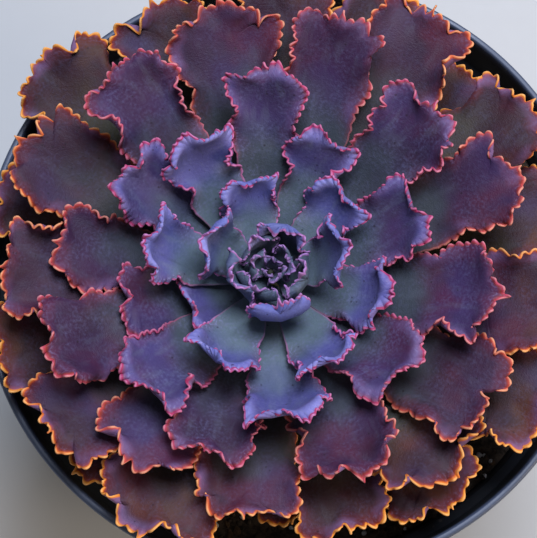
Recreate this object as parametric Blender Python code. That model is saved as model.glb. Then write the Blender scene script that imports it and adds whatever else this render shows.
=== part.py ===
"""A ruffled echeveria rosette growing in a round black nursery pot.

The pot stands on the XY plane with its axis on +Z. The rosette's stem stands a little off that axis. Leaves
follow a golden-angle spiral: leaf 0 is at the heart and higher orders lie further out and lower down. Every
leaf is a patch on its own cone around the stem, so the leaves nest without touching, and ruffles are added
to its outer end.
"""
import bisect
import math
import random

import bmesh
import bpy
from mathutils import Matrix, Vector

MM = 0.001

# Pot, in millimetres
POT_HEIGHT = 150.0
RIM_RADIUS = 100.0
RIM_WIDTH = 2.5
BAND_HEIGHT = 16.0
BAND_STEP = 3.4
BAND_INSET = 2.0        # how much narrower the band's inside is at its foot
BAND_FILLET = 1.2       # height of the slope where the inner wall meets the band
BAND_TAPER = 1.6        # how much narrower the band's outside is at its foot
RIM_ROUNDING = 0.6
RIM_EDGE = 1.2          # height of the rim's rounded edge
BASE_RADIUS = 69.0
BASE_EDGE = 1.5         # height of the chamfer round the underside
BASE_INSET = 0.4
WALL = 1.9
FLOOR = 3.0
POT_SIDES = 48
DRAIN_HOLES = 8
DRAIN_HOLE_RADIUS = 6.0
DRAIN_HOLE_SIDES = 16
DRAIN_CIRCLE_RADIUS = 46.0
DRAIN_START = 0.3       # place of the first hole, as a share of the step between two

# Soil, in millimetres
SOIL_TOP = 126.0
SOIL_MOUND = 3.0
SOIL_ROUGHNESS = 0.9
SOIL_RINGS = 5
GAP = 0.3

# Stem, in millimetres from the pot's axis
STEM_X = -6.6
STEM_Y = -6.9
STEM_BOTTOM = 98.0
STEM_FOOT_RADIUS = 9.6
STEM_FOOT_TAPER = 0.8   # radius of the stem's very end, as a share of its foot's
STEM_FOOT_HEIGHT = 3.0
STEM_FLARE = 0.2        # how much wider the stem is at the soil than at its lowest leaf
STEM_SIDES = 16
STEM_RINGS = 7
NECK_SHARE = 0.6        # least stem radius, as a share of the bud's
ROOT_CLEARANCE = 0.8    # from the stem's surface to the middle of a leaf's root
BUD_RADIUS = 1.1        # the growing point inside the heart leaves
BUD_HEIGHT = 4.4
BUD_FOOT = 1.2          # height at which the growing point is at its full radius
BUD_SHOULDER = 0.6      # share of its height up to which it keeps that radius
ROOT_DEPTH = 1.4        # how far the heart leaves' roots sink into the stem

# Spiral: the turn from one leaf to the next and the heart leaf's angle, in degrees
SPIRAL_TURN = -138.0
SPIRAL_START = 225.0

# The middle line of the leaf at some orders of the spiral; the others lie in between.
# order, root radius, root height, slope at the root, tip radius, tip height, slope at the tip
MIDDLE_LINES = (
    (0, 0.3, 166.5, 70, 2.5, 174.0, 100),
    (3, 0.8, 165.6, 58, 5.5, 177.0, 102),
    (6, 2.2, 164.2, 38, 10.5, 180.5, 103),
    (10, 3.4, 162.6, 26, 17.0, 184.0, 102),
    (13, 4.4, 161.2, 22, 28.0, 187.0, 98),
    (17, 5.8, 159.3, 21, 39.5, 189.0, 88),
    (22, 7.0, 157.0, 20, 51.5, 189.5, 66),
    (28, 8.0, 154.2, 20, 65.0, 187.5, 42),
    (35, 8.8, 150.8, 20, 79.0, 182.5, 27),
    (45, 9.6, 145.6, 20, 91.0, 173.5, 14),
    (55, 10.2, 140.2, 18, 97.0, 163.0, 7),
    (65, 10.6, 134.8, 15, 100.0, 153.0, 3),
)
CLOSED_ORDER = 12       # up to this order the heart is closed and its leaves stand upright
# Leaves whose tips close over the heart: order and slope at the tip in degrees
TURNED_IN = {3: 118, 5: 126, 7: 118, 10: 150}
TURNED_IN_HANDLE = 0.46 # how far each end's slope is kept there
CLOSED_BACK = 0.10      # how far short of its reach such a leaf's middle line ends, as a share of its width
UPRIGHT_ORDER = 27      # up to this order a longer leaf's whole middle line is drawn out
INNER_SHORT_RISE = 0.2  # how far a shorter leaf's tip still rises towards the middle line's own tip height
OUTER_SHORT_RISE = 0.05
LINE_HANDLE = 0.36      # how far each end's slope is kept, as a share of the leaf's chord
LINE_STEPS = 60
EXTRA_STEPS = 6         # steps in which a leaf that reaches past its middle line levels off
LEVEL_OFF = 0.8         # share of its slope that such a leaf loses

# The plant's leaves: order, lean from the spiral's own angle (degrees), reach from the stem's axis and
# width across the shoulders (millimetres)
HEART_LEAVES = (
    (0, 10, 2.8, 6),
    (1, -12, 4.0, 9),
    (2, 6, 5.4, 11),
    (3, -12, 6.8, 14),
    (4, -10, 8.4, 16),
    (5, -18, 10.6, 20),
)
LEAVES = (
    (6, 4, 11, 19),
    (7, 0, 12.5, 20),
    (8, -1, 15, 24),
    (9, 5, 14, 24),
    (10, -4, 16, 25),
    (11, 10, 23, 25),
    (12, 3, 25, 26),
    (13, 11, 34, 27),
    (14, 13, 28, 24),
    (15, -14, 36, 25),
    (16, -7, 37, 26),
    (17, 7, 33, 25),
    (18, 15, 49, 30),
    (19, 0, 45, 27),
    (20, 2, 37, 27),
    (21, -1, 28, 26),
    (22, -2, 45, 25),
    (24, -7, 54, 27),
    (25, 6, 50, 29),
    (26, -13, 56, 31),
    (27, -7, 62, 27),
    (28, 0, 54, 32),
    (29, 11, 48, 29),
    (30, -1, 72, 33),
    (31, -16, 63, 32),
    (32, -1, 80, 33),
    (33, 1, 71, 34),
    (34, -12, 74, 33),
    (35, -1, 84, 33),
    (36, -4, 71, 36),
    (37, 14, 68, 29),
    (38, 1, 83, 31),
    (39, -9, 75, 34),
    (40, -4, 88, 38),
    (41, 1, 82, 37),
    (42, -9, 85, 36),
    (43, 7, 100, 37),
    (44, -9, 79, 37),
    (45, 17, 90, 35),
    (46, -4, 92, 37),
    (47, -2, 87, 38),
    (48, 6, 98, 35),
    (49, 9, 85, 39),
    (51, 7, 101, 34),
    (52, -5, 91, 42),
    (53, 2, 99, 37),
    (54, 0, 97, 38),
    (55, 2, 90, 36),
    (56, 10, 105, 34),
    (57, 8, 85, 34),
    (58, -6, 106, 37),
    (59, 12, 98, 34),
    (60, 0, 86, 26),
    (62, -1, 92, 33),
    (63, -11, 94, 30),
    (64, 12, 98, 25),
    (65, 20, 77, 26),
)

# Deep notches of the margin, by order: place along the margin from the tip and depth, in millimetres
NOTCHES = {
    24: ((4.0, 2.5),),
    30: ((-13.0, 3.5),),
    32: ((10.0, 3.0), (-6.0, 2.5)),
    33: ((-15.0, 4.0), (7.0, 2.5)),
    35: ((-12.0, 4.0),),
    36: ((13.0, 3.5), (-15.0, 5.0)),
    37: ((12.0, 2.5),),
    38: ((8.0, 4.0),),
    39: ((12.0, 3.5), (-9.0, 3.0)),
    40: ((-16.0, 6.0), (9.0, 3.5)),
    41: ((2.0, 6.0), (-14.0, 5.0)),
    42: ((-9.0, 4.0), (10.0, 3.0)),
    43: ((-9.0, 3.0), (7.0, 5.0)),
    44: ((-15.0, 5.5), (10.0, 4.0)),
    45: ((-14.0, 6.0), (9.0, 4.0)),
    46: ((-8.0, 4.0),),
    47: ((-9.0, 3.5), (11.0, 4.0)),
    48: ((10.0, 4.0),),
    49: ((-15.0, 4.0), (8.0, 3.0)),
    51: ((11.0, 5.0), (-11.0, 4.0)),
    52: ((-12.0, 4.0), (10.0, 3.5)),
    53: ((9.0, 4.0), (-12.0, 3.0)),
    56: ((6.0, 4.0),),
    58: ((-10.0, 4.5), (7.0, 3.0)),
    62: ((-6.0, 4.0),),
}

# Leaf blade, in millimetres unless it says share
MARGIN_THICKNESS = 0.75
ROOT_THICKNESS = 0.85
NOTCH_HALF_WIDTH = 2.4
NOTCH_STEEPNESS = 2.2
NOTCH_REACH = 1.5                   # how far into the blade a notch is felt, as a share of its depth
RING_SHARES = (0.0, 0.66, 1.0)      # from the midrib to the margin, as shares of the way
MUCRO_LENGTH, MUCRO_HALF_WIDTH, MUCRO_SHARPNESS = 2.4, 1.2, 8   # the small point at the tip
FLESH, FLESH_SHARE = 0.8, 0.032     # greatest thickness: millimetres, and more by this share of the width
FLESH_START, FLESH_RUN = 0.25, 0.5  # shares of the length where it starts to thicken and over which it does
SIDE_SAMPLES = 24                   # points that describe each half of a leaf's outline
SAMPLE_STEP = 0.5                   # half of the stretch over which a curve's direction is measured
NEIGHBOURS = 3                      # leaves above and below that limit a blade's ruffles
FREE_ROOM = 12.0
BODY_ROOM = 0.75
LEAST_ROOM = 0.05
HEART_RIBS = 6
NARROW_RIBS, MIDDLE_RIBS, BROAD_RIBS = 8, 10, 12
MIDDLE_WIDTH, BROAD_WIDTH = 24, 30  # widths from which a leaf has the next number of ribs

# Largest half angle round the stem that a blade may take, in radians, at its root and further out, and what
# the bud's and the heart's leaves may take beyond that
ROOT_WIDEST = 0.42
WIDEST = 0.50
BUD_WIDER = 0.34
HEART_WIDER = 0.16
WIDENING_SHARE = 0.35               # share of the length by which that angle has opened from the root's
SPAN_SHARE = 1.6                    # a blade's width over the half arc that it is counted to cover

# Orders between which the leaves change from one value to the next
HEART_ORDERS = (4, 8)
BUD_ORDERS = (9, 14)
YOUNG_LIP_ORDERS, OUTER_LIP_ORDERS = (9, 13), (20, 30)
CUP_ORDERS = (6, 33)
BLUNT_ORDERS = (12, 42)
WAVE_ORDERS = (20, 40)

# Outline of a blade, as shares of its width
ROOT_HALF_WIDTH, ROOT_HALF_SHARE = 0.3, 0.42    # at the root: share of the width, most share of its radius
SHOULDER_BACK = 0.36                # from the tip back to the shoulder
SIDE_END_BACK = 0.10                # from the shoulder back to where the side starts to round
SIDE_END_HALF_WIDTH = 0.485
CORNER_BACK, CORNER_HALF_WIDTH = 0.04, 0.55     # the first of the two points that draw out the corner
END_HALF_WIDTH = 0.44               # the second, which sets how square the end is
LARGEST_END_BACK = 0.03             # how far back it lies in the oldest leaves; the youngest are square
SIDE_FLARE = 1.05                   # how late a side widens from its narrow root
RIB_BACK = 0.14                     # how far a rib leans back from the margin, as a share of the length

# Ruffles of a blade, as shares of its width unless they say millimetres or radians
WAVE_LENGTH = 4.6                   # millimetres, and more by the next share
WAVE_LENGTH_SHARE = 0.13
WAVE_HEIGHT = 0.062
WAVE_COUNT = 48                     # half waves on a whole margin whose sizes are chosen
WAVE_PAST = 4.0                     # millimetres past the shoulder where the waves start to die out
WAVE_FADE = 0.28                    # share of the leaf's length over which they do
WAVE_SHIFT = 0.4                    # radians by which the first wave strays from the tip
WAVE_FALL = 1.4                     # how steeply a wave dies out into the blade
INNER_WAVE_LIFT, OUTER_WAVE_LIFT = 0.55, 0.35   # how far a wave lifts the margin, as shares of its height
SMALLEST_WAVE, WAVE_SPREAD, WAVE_RARITY = 0.25, 1.25, 1.6   # sizes of single waves
LARGEST_WARP = 0.14                 # how far a wave strays from its place, as a share of a turn
WAVE_INWARD, WAVE_ROUNDNESS = 0.8, 1.4  # how far a wave draws the margin in, and how narrow that dent is
WAVE_LEAD = 0.6                     # radians by which the dent leads the crest
WAVE_DEPTH, WAVE_DEPTH_SHARE = 0.8, 0.035
DENT_DEPTH = 0.15
SWELL_LENGTH = 0.66
SWELL_LIFT, SWELL_INWARD = 0.04, 0.07
BAY_ROUNDNESS = 1.7                 # how narrow the bays between two lobes are
SWELL_DEPTH, SWELL_FALL = 0.2, 1.5
HEART_CUP, RIM_CUP = 0.14, 0.07     # how hollow a blade is at the heart and at the rim
TIP_CUP, CUP_RISE = 0.55, 1.5       # share of that hollow that is left at the tip, and how late it returns
CUP_START, CUP_RUN = 0.50, 0.40     # shares of the length where it starts and over which it deepens
BLADE_ROLL = 0.035                  # height of the broad hollows and swellings of the blade
ROLL_LENGTH, ROLL_WIDTH = 0.55, 0.45            # their size along and across the blade
ALONG_ROLL, ACROSS_ROLL = (2.4, 1.1), (0.8, 2.9)    # radians that they turn along and across it
ROLL_START, ROLL_RUN = 0.3, 0.4     # shares of the length where they start and over which they grow
ROLL_EDGE = 4.0                     # millimetres from the margin within which they level off
LIP_DEPTH, LIP_DEPTH_SHARE = 1.0, 0.10
# How far a lip rolls back, as shares of the tip's slope
TURNED_IN_LIP, HEART_LIP, YOUNG_LIP, OUTER_LIP = 0.2, 0.42, 0.86, 1.02
LIP_SWELL = 0.35                    # how far the swells open and close the lip
LIP_END, LIP_FADE = 0.95, 0.65      # where the lip ends and how it fades: shares of the way to the shoulder
CURL_TURN = 2.08                    # radians that a curled shoulder bends through
CURL_DEPTH = 0.22
CURL_SPREAD = 0.20
CURL_PLACES = (0.9, 1.25)           # shares of the way to the shoulder between which a curl sits
CURL_TIGHTNESS = (0.6, 1.0)
LARGEST_TWIST = 0.05
TWIST_START, TWIST_RUN = 0.4, 0.5   # shares of the length where the twist starts and over which it grows

# Ribs of a blade's mesh
RIBBED_SHARE = 0.20                 # share of the length past the shoulder that still has close ribs
LARGEST_RIBBED = 0.85               # largest share of the margin that they take


def smooth(x):
    """Ease from 0 to 1 as x goes from 0 to 1."""
    x = min(max(x, 0.0), 1.0)
    return x * x * (3 - 2 * x)


def ripe(order, orders):
    """Ease from 0 to 1 between the two orders."""
    return smooth((order - orders[0]) / (orders[1] - orders[0]))


def rolled(depth, curled, turn):
    """Rise and pull-in of a margin whose last curled millimetres bend through turn radians."""
    bent = curled - depth
    if bent <= 0 or turn <= 0:
        return 0.0, 0.0
    radius = curled / turn
    return radius * (1 - math.cos(bent / radius)), bent - radius * math.sin(bent / radius)


def between(x, xs, ys):
    """Value at x on the line through the points (xs, ys), held level past its ends."""
    if x <= xs[0]:
        return ys[0]
    if x >= xs[-1]:
        return ys[-1]
    i = bisect.bisect_right(xs, x)
    share = (x - xs[i - 1]) / (xs[i] - xs[i - 1])
    return ys[i - 1] + share * (ys[i] - ys[i - 1])


def lengths_along(points):
    """Distance along a polyline of 2-D points, from its first point to each of them."""
    total = [0.0]
    for a, b in zip(points, points[1:]):
        total.append(total[-1] + math.dist(a, b))
    return total


def middle_line(order):
    """Root radius, height and slope, and tip radius, height and slope, of the leaf at this order."""
    orders = [row[0] for row in MIDDLE_LINES]
    return [between(order, orders, [row[i] for row in MIDDLE_LINES]) for i in range(1, 7)]


def arc(start, end, slope0, slope1, handle_share=LINE_HANDLE):
    """Points of a curve that leaves its start and arrives at its end at the given slopes."""
    handle = handle_share * (end - start).length
    leave = start + handle * Vector((math.cos(slope0), math.sin(slope0)))
    arrive = end - handle * Vector((math.cos(slope1), math.sin(slope1)))
    points = []
    for i in range(LINE_STEPS + 1):
        u = i / LINE_STEPS
        v = 1 - u
        points.append(v ** 3 * start + 3 * u * v * v * leave + 3 * u * u * v * arrive + u ** 3 * end)
    return points


class Leaf:
    """One leaf's shape: its middle line, its outline and its ruffles."""

    def __init__(self, order, lean, reach, width):
        self.order = order
        self.width = width
        self.angle = math.radians(SPIRAL_START + SPIRAL_TURN * order + lean)
        self.set_middle(reach)
        self.set_outline()
        self.set_ruffles(random.Random(100 + order))

    def set_middle(self, reach):
        """Sample the middle line as (radius, height) against the distance from the root."""
        r0, z0, slope0, r1, z1, slope1 = middle_line(self.order)
        slope0 = math.radians(slope0)
        slope1 = math.radians(TURNED_IN.get(self.order, slope1))
        root = Vector((r0, z0))
        line = arc(root, Vector((r1, z1)), slope0, slope1)
        if self.order <= CLOSED_ORDER:
            handle = TURNED_IN_HANDLE if self.order in TURNED_IN else LINE_HANDLE
            line = arc(root, Vector((reach - CLOSED_BACK * self.width, z1)), slope0, slope1, handle)
        elif reach > r1 and self.order > UPRIGHT_ORDER:
            step = (reach - r1) / EXTRA_STEPS
            for i in range(EXTRA_STEPS):
                slope = slope1 * (1 - LEVEL_OFF * (i + 1) / EXTRA_STEPS)
                line.append(line[-1] + step * Vector((1, math.tan(slope))))
        else:
            level = between(reach, [p.x for p in line], [p.y for p in line])
            rise = INNER_SHORT_RISE if self.order <= UPRIGHT_ORDER else OUTER_SHORT_RISE
            line = arc(root, Vector((reach, level + rise * (z1 - level))), slope0, slope1)
        self.line = line
        self.line_at = lengths_along([tuple(p) for p in line])
        self.line_radii = [p.x for p in line]
        self.line_heights = [p.y for p in line]
        self.root_radius = r0
        self.length = self.line_at[-1]
        if self.order in TURNED_IN:
            self.lip = slope1 * TURNED_IN_LIP
        else:
            lip = HEART_LIP + (YOUNG_LIP - HEART_LIP) * ripe(self.order, YOUNG_LIP_ORDERS)
            self.lip = slope1 * (lip + (OUTER_LIP - YOUNG_LIP) * ripe(self.order, OUTER_LIP_ORDERS))

    def on_middle(self, along):
        """Radius, height and unit direction of the middle line at a distance from the root."""
        radii, heights = self.line_radii, self.line_heights
        step = SAMPLE_STEP
        a = min(max(along, step), self.length - step)
        radius = between(along, self.line_at, radii)
        height = between(along, self.line_at, heights)
        run = between(a + step, self.line_at, radii) - between(a - step, self.line_at, radii)
        rise = between(a + step, self.line_at, heights) - between(a - step, self.line_at, heights)
        size = math.hypot(run, rise)
        past = along - min(max(along, 0.0), self.length)
        return radius + past * run / size, height + past * rise / size, run / size, rise / size

    def set_outline(self):
        """Half of the outline as (distance along, distance across): a straight side, then a blunt end."""
        width = self.width
        shoulder = self.length - SHOULDER_BACK * width
        blunt = LARGEST_END_BACK * ripe(self.order, BLUNT_ORDERS)
        root = Vector((0, min(ROOT_HALF_SHARE * self.root_radius, ROOT_HALF_WIDTH * width)))
        side_end = Vector((shoulder - SIDE_END_BACK * width, SIDE_END_HALF_WIDTH * width))
        corner = Vector((self.length - CORNER_BACK * width, CORNER_HALF_WIDTH * width))
        end = Vector((self.length - blunt * width, END_HALF_WIDTH * width))
        tip = Vector((self.length, 0))
        points = []
        for i in range(SIDE_SAMPLES):
            u = i / SIDE_SAMPLES
            points.append(Vector((side_end.x * u, root.y + (side_end.y - root.y) * u ** SIDE_FLARE)))
        for i in range(SIDE_SAMPLES + 1):
            u = i / SIDE_SAMPLES
            v = 1 - u
            points.append(v ** 3 * side_end + 3 * u * v * v * corner + 3 * u * u * v * end + u ** 3 * tip)
        self.outline_x = [p.x for p in points]
        self.outline_y = [p.y for p in points]
        self.outline_at = lengths_along([tuple(p) for p in points])
        self.edge = self.outline_at[-1]
        side = slice(0, SIDE_SAMPLES + 1)
        self.shoulder = self.edge - between(shoulder, self.outline_x[side], self.outline_at[side])

    def set_ruffles(self, rng):
        """Choose the waves of the margin and the way each shoulder curls."""
        self.wave = WAVE_LENGTH + WAVE_LENGTH_SHARE * self.width
        self.wave_height = WAVE_HEIGHT * self.width
        self.wave_phase = rng.choice((0.0, math.pi)) + rng.uniform(-WAVE_SHIFT, WAVE_SHIFT)
        sizes = [rng.random() ** WAVE_RARITY for _ in range(WAVE_COUNT + 1)]
        self.wave_sizes = [SMALLEST_WAVE + WAVE_SPREAD * size for size in sizes]
        self.wave_warps = [rng.uniform(-LARGEST_WARP, LARGEST_WARP) for _ in range(WAVE_COUNT + 1)]
        self.swell_turn = rng.uniform(0.0, math.tau)
        self.twist = rng.uniform(-LARGEST_TWIST, LARGEST_TWIST)
        self.curls = []
        for side in (1, -1):
            place = self.shoulder * rng.uniform(*CURL_PLACES)
            turn = rng.choice((1, 1, -1, 0)) * rng.uniform(*CURL_TIGHTNESS)
            self.curls.append((side, place, turn))

    def on_outline(self, from_tip):
        """Point of the outline at a distance along the edge from the tip, and its outward normal."""
        at = self.edge - from_tip
        xs, ys = self.outline_x, self.outline_y
        x = between(at, self.outline_at, xs)
        y = between(at, self.outline_at, ys)
        step = SAMPLE_STEP
        a = min(max(at, step), self.edge - step)
        dx = between(a + step, self.outline_at, xs) - between(a - step, self.outline_at, xs)
        dy = between(a + step, self.outline_at, ys) - between(a - step, self.outline_at, ys)
        size = math.hypot(dx, dy)
        return x, y, -dy / size, dx / size

    def point(self, edge, share):
        """Middle surface of the blade. edge is the signed distance along the margin from the tip and share
        goes from 0 on the midrib to 1 on the margin."""
        side = 1 if edge >= 0 else -1
        from_tip = abs(edge)
        x, y, normal_x, normal_y = self.on_outline(from_tip)
        rib = x * (1 - RIB_BACK * (x / self.length) ** 2)
        at = rib + (x - rib) * share
        depth = (1 - share) * math.hypot(x - rib, y)
        swell = math.sin(math.tau * edge / (SWELL_LENGTH * self.width) + self.swell_turn)
        lift, inward = self.ruffle(edge, share, depth, swell)
        lift += self.hollow(from_tip, x / self.length, share)
        lift += self.undulation(at, side * y * share, x / self.length, depth)
        up, back = self.lip_roll(from_tip, depth, swell)
        lift -= up
        inward += back
        for curl_side, curl_place, curl_turn in self.curls:
            if curl_side == side:
                near = math.exp(-((from_tip - curl_place) / (CURL_SPREAD * self.width)) ** 2)
                curled = CURL_DEPTH * self.width * near ** 0.5
                up, back = rolled(depth, curled, CURL_TURN * abs(curl_turn) * near)
                lift += math.copysign(up, curl_turn)
                inward += back
        lift = self.within_room(lift, side, at)
        along = at - inward * normal_x
        along += MUCRO_LENGTH * math.exp(-(from_tip / MUCRO_HALF_WIDTH) ** 2) * share ** MUCRO_SHARPNESS
        across = max(y * share - inward * normal_y, 0.0)
        radius, level, run, rise = self.on_middle(max(along, 0.0))
        limit = self.widest(along / self.length) * max(radius, 0.5)
        across *= limit / (across ** 5 + limit ** 5) ** 0.2
        angle = self.angle + side * across / max(radius, 1.0)
        radius -= lift * rise
        level += lift * run
        return Vector((STEM_X + radius * math.cos(angle), STEM_Y + radius * math.sin(angle), level))

    def waves_left(self, from_tip):
        """Share of the waves' height that is left at a distance along the margin from the tip."""
        return 1 - smooth((from_tip - self.shoulder - WAVE_PAST) / (WAVE_FADE * self.length))

    def ruffle(self, edge, share, depth, swell):
        """How far the margin's waves and swells lift the blade and draw it in."""
        counts = list(range(WAVE_COUNT + 1))
        place = min(max(WAVE_COUNT / 2 + 2 * edge / self.wave, 0), WAVE_COUNT - 0.01)
        left = self.waves_left(abs(edge))
        height = self.wave_height * left * between(place, counts, self.wave_sizes)
        turn = math.tau * (edge / self.wave + between(place, counts, self.wave_warps)) + self.wave_phase
        near = math.exp(-(depth / (WAVE_DEPTH + WAVE_DEPTH_SHARE * self.width)) ** WAVE_FALL) * share
        dent = (0.5 + 0.5 * math.sin(turn + WAVE_LEAD)) ** WAVE_ROUNDNESS
        dent *= math.exp(-depth / (DENT_DEPTH * self.width))
        swell_depth = depth / (SWELL_DEPTH * self.width)
        lift = INNER_WAVE_LIFT + (OUTER_WAVE_LIFT - INNER_WAVE_LIFT) * ripe(self.order, WAVE_ORDERS)
        lift *= height * math.cos(turn) * near
        lift += SWELL_LIFT * self.width * swell * left * math.exp(-swell_depth ** SWELL_FALL) * share
        inward = WAVE_INWARD * height * dent * share
        bay = (0.5 + 0.5 * swell) ** BAY_ROUNDNESS
        inward += SWELL_INWARD * self.width * bay * left * math.exp(-swell_depth) * share
        return lift, inward + self.notch(edge, share, depth)

    def notch(self, edge, share, depth):
        """How far the deep notches draw the margin in."""
        inward = 0.0
        for place, deep in NOTCHES.get(self.order, ()):
            cut_in = deep * math.exp(-abs((edge - place) / NOTCH_HALF_WIDTH) ** NOTCH_STEEPNESS)
            inward += cut_in * math.exp(-depth / (NOTCH_REACH * deep)) * share
        return inward

    def hollow(self, from_tip, along_share, share):
        """How far the blade's hollow lifts its margins."""
        cup = HEART_CUP + (RIM_CUP - HEART_CUP) * ripe(self.order, CUP_ORDERS)
        cup *= self.width * smooth((along_share - CUP_START) / CUP_RUN)
        return cup * (TIP_CUP + (1 - TIP_CUP) * min(from_tip / self.shoulder, 1.0) ** CUP_RISE) * share ** 2

    def undulation(self, along, across, along_share, depth):
        """Twist and broad low swellings of the blade."""
        far = along / (ROLL_LENGTH * self.width)
        wide = across / (ROLL_WIDTH * self.width)
        lift = self.twist * across * smooth((along_share - TWIST_START) / TWIST_RUN)
        rolling = math.sin(ALONG_ROLL[0] * far + ALONG_ROLL[1] * wide + self.swell_turn)
        rolling *= math.sin(ACROSS_ROLL[1] * wide - ACROSS_ROLL[0] * far + self.wave_phase)
        rolling *= smooth((along_share - ROLL_START) / ROLL_RUN) * min(depth / ROLL_EDGE, 1)
        return lift + BLADE_ROLL * self.width * rolling

    def lip_roll(self, from_tip, depth, swell):
        """Drop and pull-in of the outer margin, which rolls outward until it is about level."""
        spread = 1 - smooth((from_tip / self.shoulder - LIP_END) / LIP_FADE)
        turn = self.lip * self.waves_left(from_tip) * spread * (1 + LIP_SWELL * swell)
        return rolled(depth, LIP_DEPTH + LIP_DEPTH_SHARE * self.width, turn)

    def half_span(self):
        """Half of the angle that the blade takes round the stem at its shoulders."""
        return min(self.width / (SPAN_SHARE * self.line_radii[-1]), self.widest(1.0))

    def widest(self, along_share):
        """Largest half angle round the stem that the blade may take at a share of its length."""
        full = WIDEST + BUD_WIDER * (1 - ripe(self.order, BUD_ORDERS))
        full += HEART_WIDER * (1 - ripe(self.order, HEART_ORDERS))
        return ROOT_WIDEST + (full - ROOT_WIDEST) * smooth(along_share / WIDENING_SHARE)

    def overlaps(self, other, side):
        """Whether the other leaf lies over or under this side of the blade, seen from above."""
        apart = (other.angle - self.angle + math.pi) % (2 * math.pi) - math.pi
        low, high = sorted((0.0, side * self.half_span()))
        return low < apart + other.half_span() and apart - other.half_span() < high

    def set_room(self, leaves):
        """How far each side of the blade may rise or drop before it meets the next leaf above or below."""
        self.room = {}
        for side in (1, -1):
            for way, near in ((1, [o for o in leaves if o.order < self.order]),
                              (-1, [o for o in leaves if o.order > self.order])):
                near = [o for o in near if self.overlaps(o, side)]
                near = sorted(near, key=lambda o: abs(o.order - self.order))[:NEIGHBOURS]
                self.room[side, way] = [self.room_at(p, near) for p in self.line]

    def room_at(self, point, near):
        """Half the distance to the nearest of the other leaves' middle lines, less the blade's own body."""
        apart = [2 * FREE_ROOM]
        for other in near:
            apart.append(min((point - q).length for q in other.line))
        return max(0.5 * min(apart) - BODY_ROOM, LEAST_ROOM)

    def within_room(self, lift, side, along):
        """Ease a lift so that it stays inside the room that the neighbours leave."""
        room = between(along, self.line_at, self.room[side, 1 if lift > 0 else -1])
        return lift / (1 + abs(lift / room) ** 4) ** 0.25

    def thickness(self, edge, share):
        """Thickness of the blade, thin at the margin and the root and fleshy between them."""
        x = self.on_outline(abs(edge))[0]
        fleshy = FLESH + FLESH_SHARE * self.width
        filled = smooth((x / self.length - FLESH_START) / FLESH_RUN)
        body = ROOT_THICKNESS + (fleshy - ROOT_THICKNESS) * filled
        return MARGIN_THICKNESS + (body - MARGIN_THICKNESS) * (1 - share ** 2)


def clear_scene():
    for obj in list(bpy.data.objects):
        bpy.data.objects.remove(obj, do_unlink=True)


def make_material(name, colour, roughness, metallic=0.0):
    material = bpy.data.materials.new(name)
    material.use_nodes = True
    shader = material.node_tree.nodes["Principled BSDF"]
    shader.inputs["Base Color"].default_value = (*colour, 1.0)
    shader.inputs["Roughness"].default_value = roughness
    shader.inputs["Metallic"].default_value = metallic
    return material


def add_object(name, mesh, material):
    mesh.materials.append(material)
    obj = bpy.data.objects.new(name, mesh)
    bpy.context.scene.collection.objects.link(obj)
    return obj


def mesh_from_points(name, points, faces):
    """A mesh in metres from points in millimetres."""
    mesh = bpy.data.meshes.new(name)
    mesh.from_pydata([tuple(MM * c for c in p) for p in points], [], faces)
    mesh.update()
    return mesh


def turned(name, profile, sides):
    """A closed solid of revolution about Z from (radius, height) points, whose ends lie on the axis."""
    bm = bmesh.new()
    verts = [bm.verts.new((MM * r, 0, MM * z)) for r, z in profile]
    edges = [bm.edges.new(pair) for pair in zip(verts, verts[1:])]
    bmesh.ops.spin(bm, geom=verts + edges, cent=(0, 0, 0), axis=(0, 0, 1), angle=2 * math.pi,
                   steps=sides, use_merge=True)
    bmesh.ops.remove_doubles(bm, verts=bm.verts, dist=MM * 0.01)
    bmesh.ops.recalc_face_normals(bm, faces=bm.faces)
    mesh = bpy.data.meshes.new(name)
    bm.to_mesh(mesh)
    bm.free()
    return mesh


def shade_round(obj, angle):
    obj.data.shade_smooth()
    obj.data.set_sharp_from_angle(angle=math.radians(angle))


def add_cutter(name, radius, height, sides, location):
    """A hidden cylinder that a Boolean modifier cuts with."""
    bm = bmesh.new()
    bmesh.ops.create_cone(bm, cap_ends=True, segments=sides, radius1=MM * radius, radius2=MM * radius,
                          depth=MM * height)
    mesh = bpy.data.meshes.new(name)
    bm.to_mesh(mesh)
    bm.free()
    cutter = bpy.data.objects.new(name, mesh)
    cutter.location = [MM * c for c in location]
    cutter.hide_render = True
    cutter.display_type = "WIRE"
    bpy.context.scene.collection.objects.link(cutter)
    return cutter


def cut(obj, cutter):
    modifier = obj.modifiers.new(cutter.name, "BOOLEAN")
    modifier.operation = "DIFFERENCE"
    modifier.object = cutter


def inner_wall_radius(height):
    """Radius of the pot's inner wall at a height between its floor and its rim band."""
    low, high = FLOOR, POT_HEIGHT - BAND_HEIGHT
    foot = BASE_RADIUS - BASE_INSET
    neck = RIM_RADIUS - RIM_WIDTH - BAND_INSET - BAND_STEP
    return foot + (neck - foot) * (height - low) / (high - low)


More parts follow.
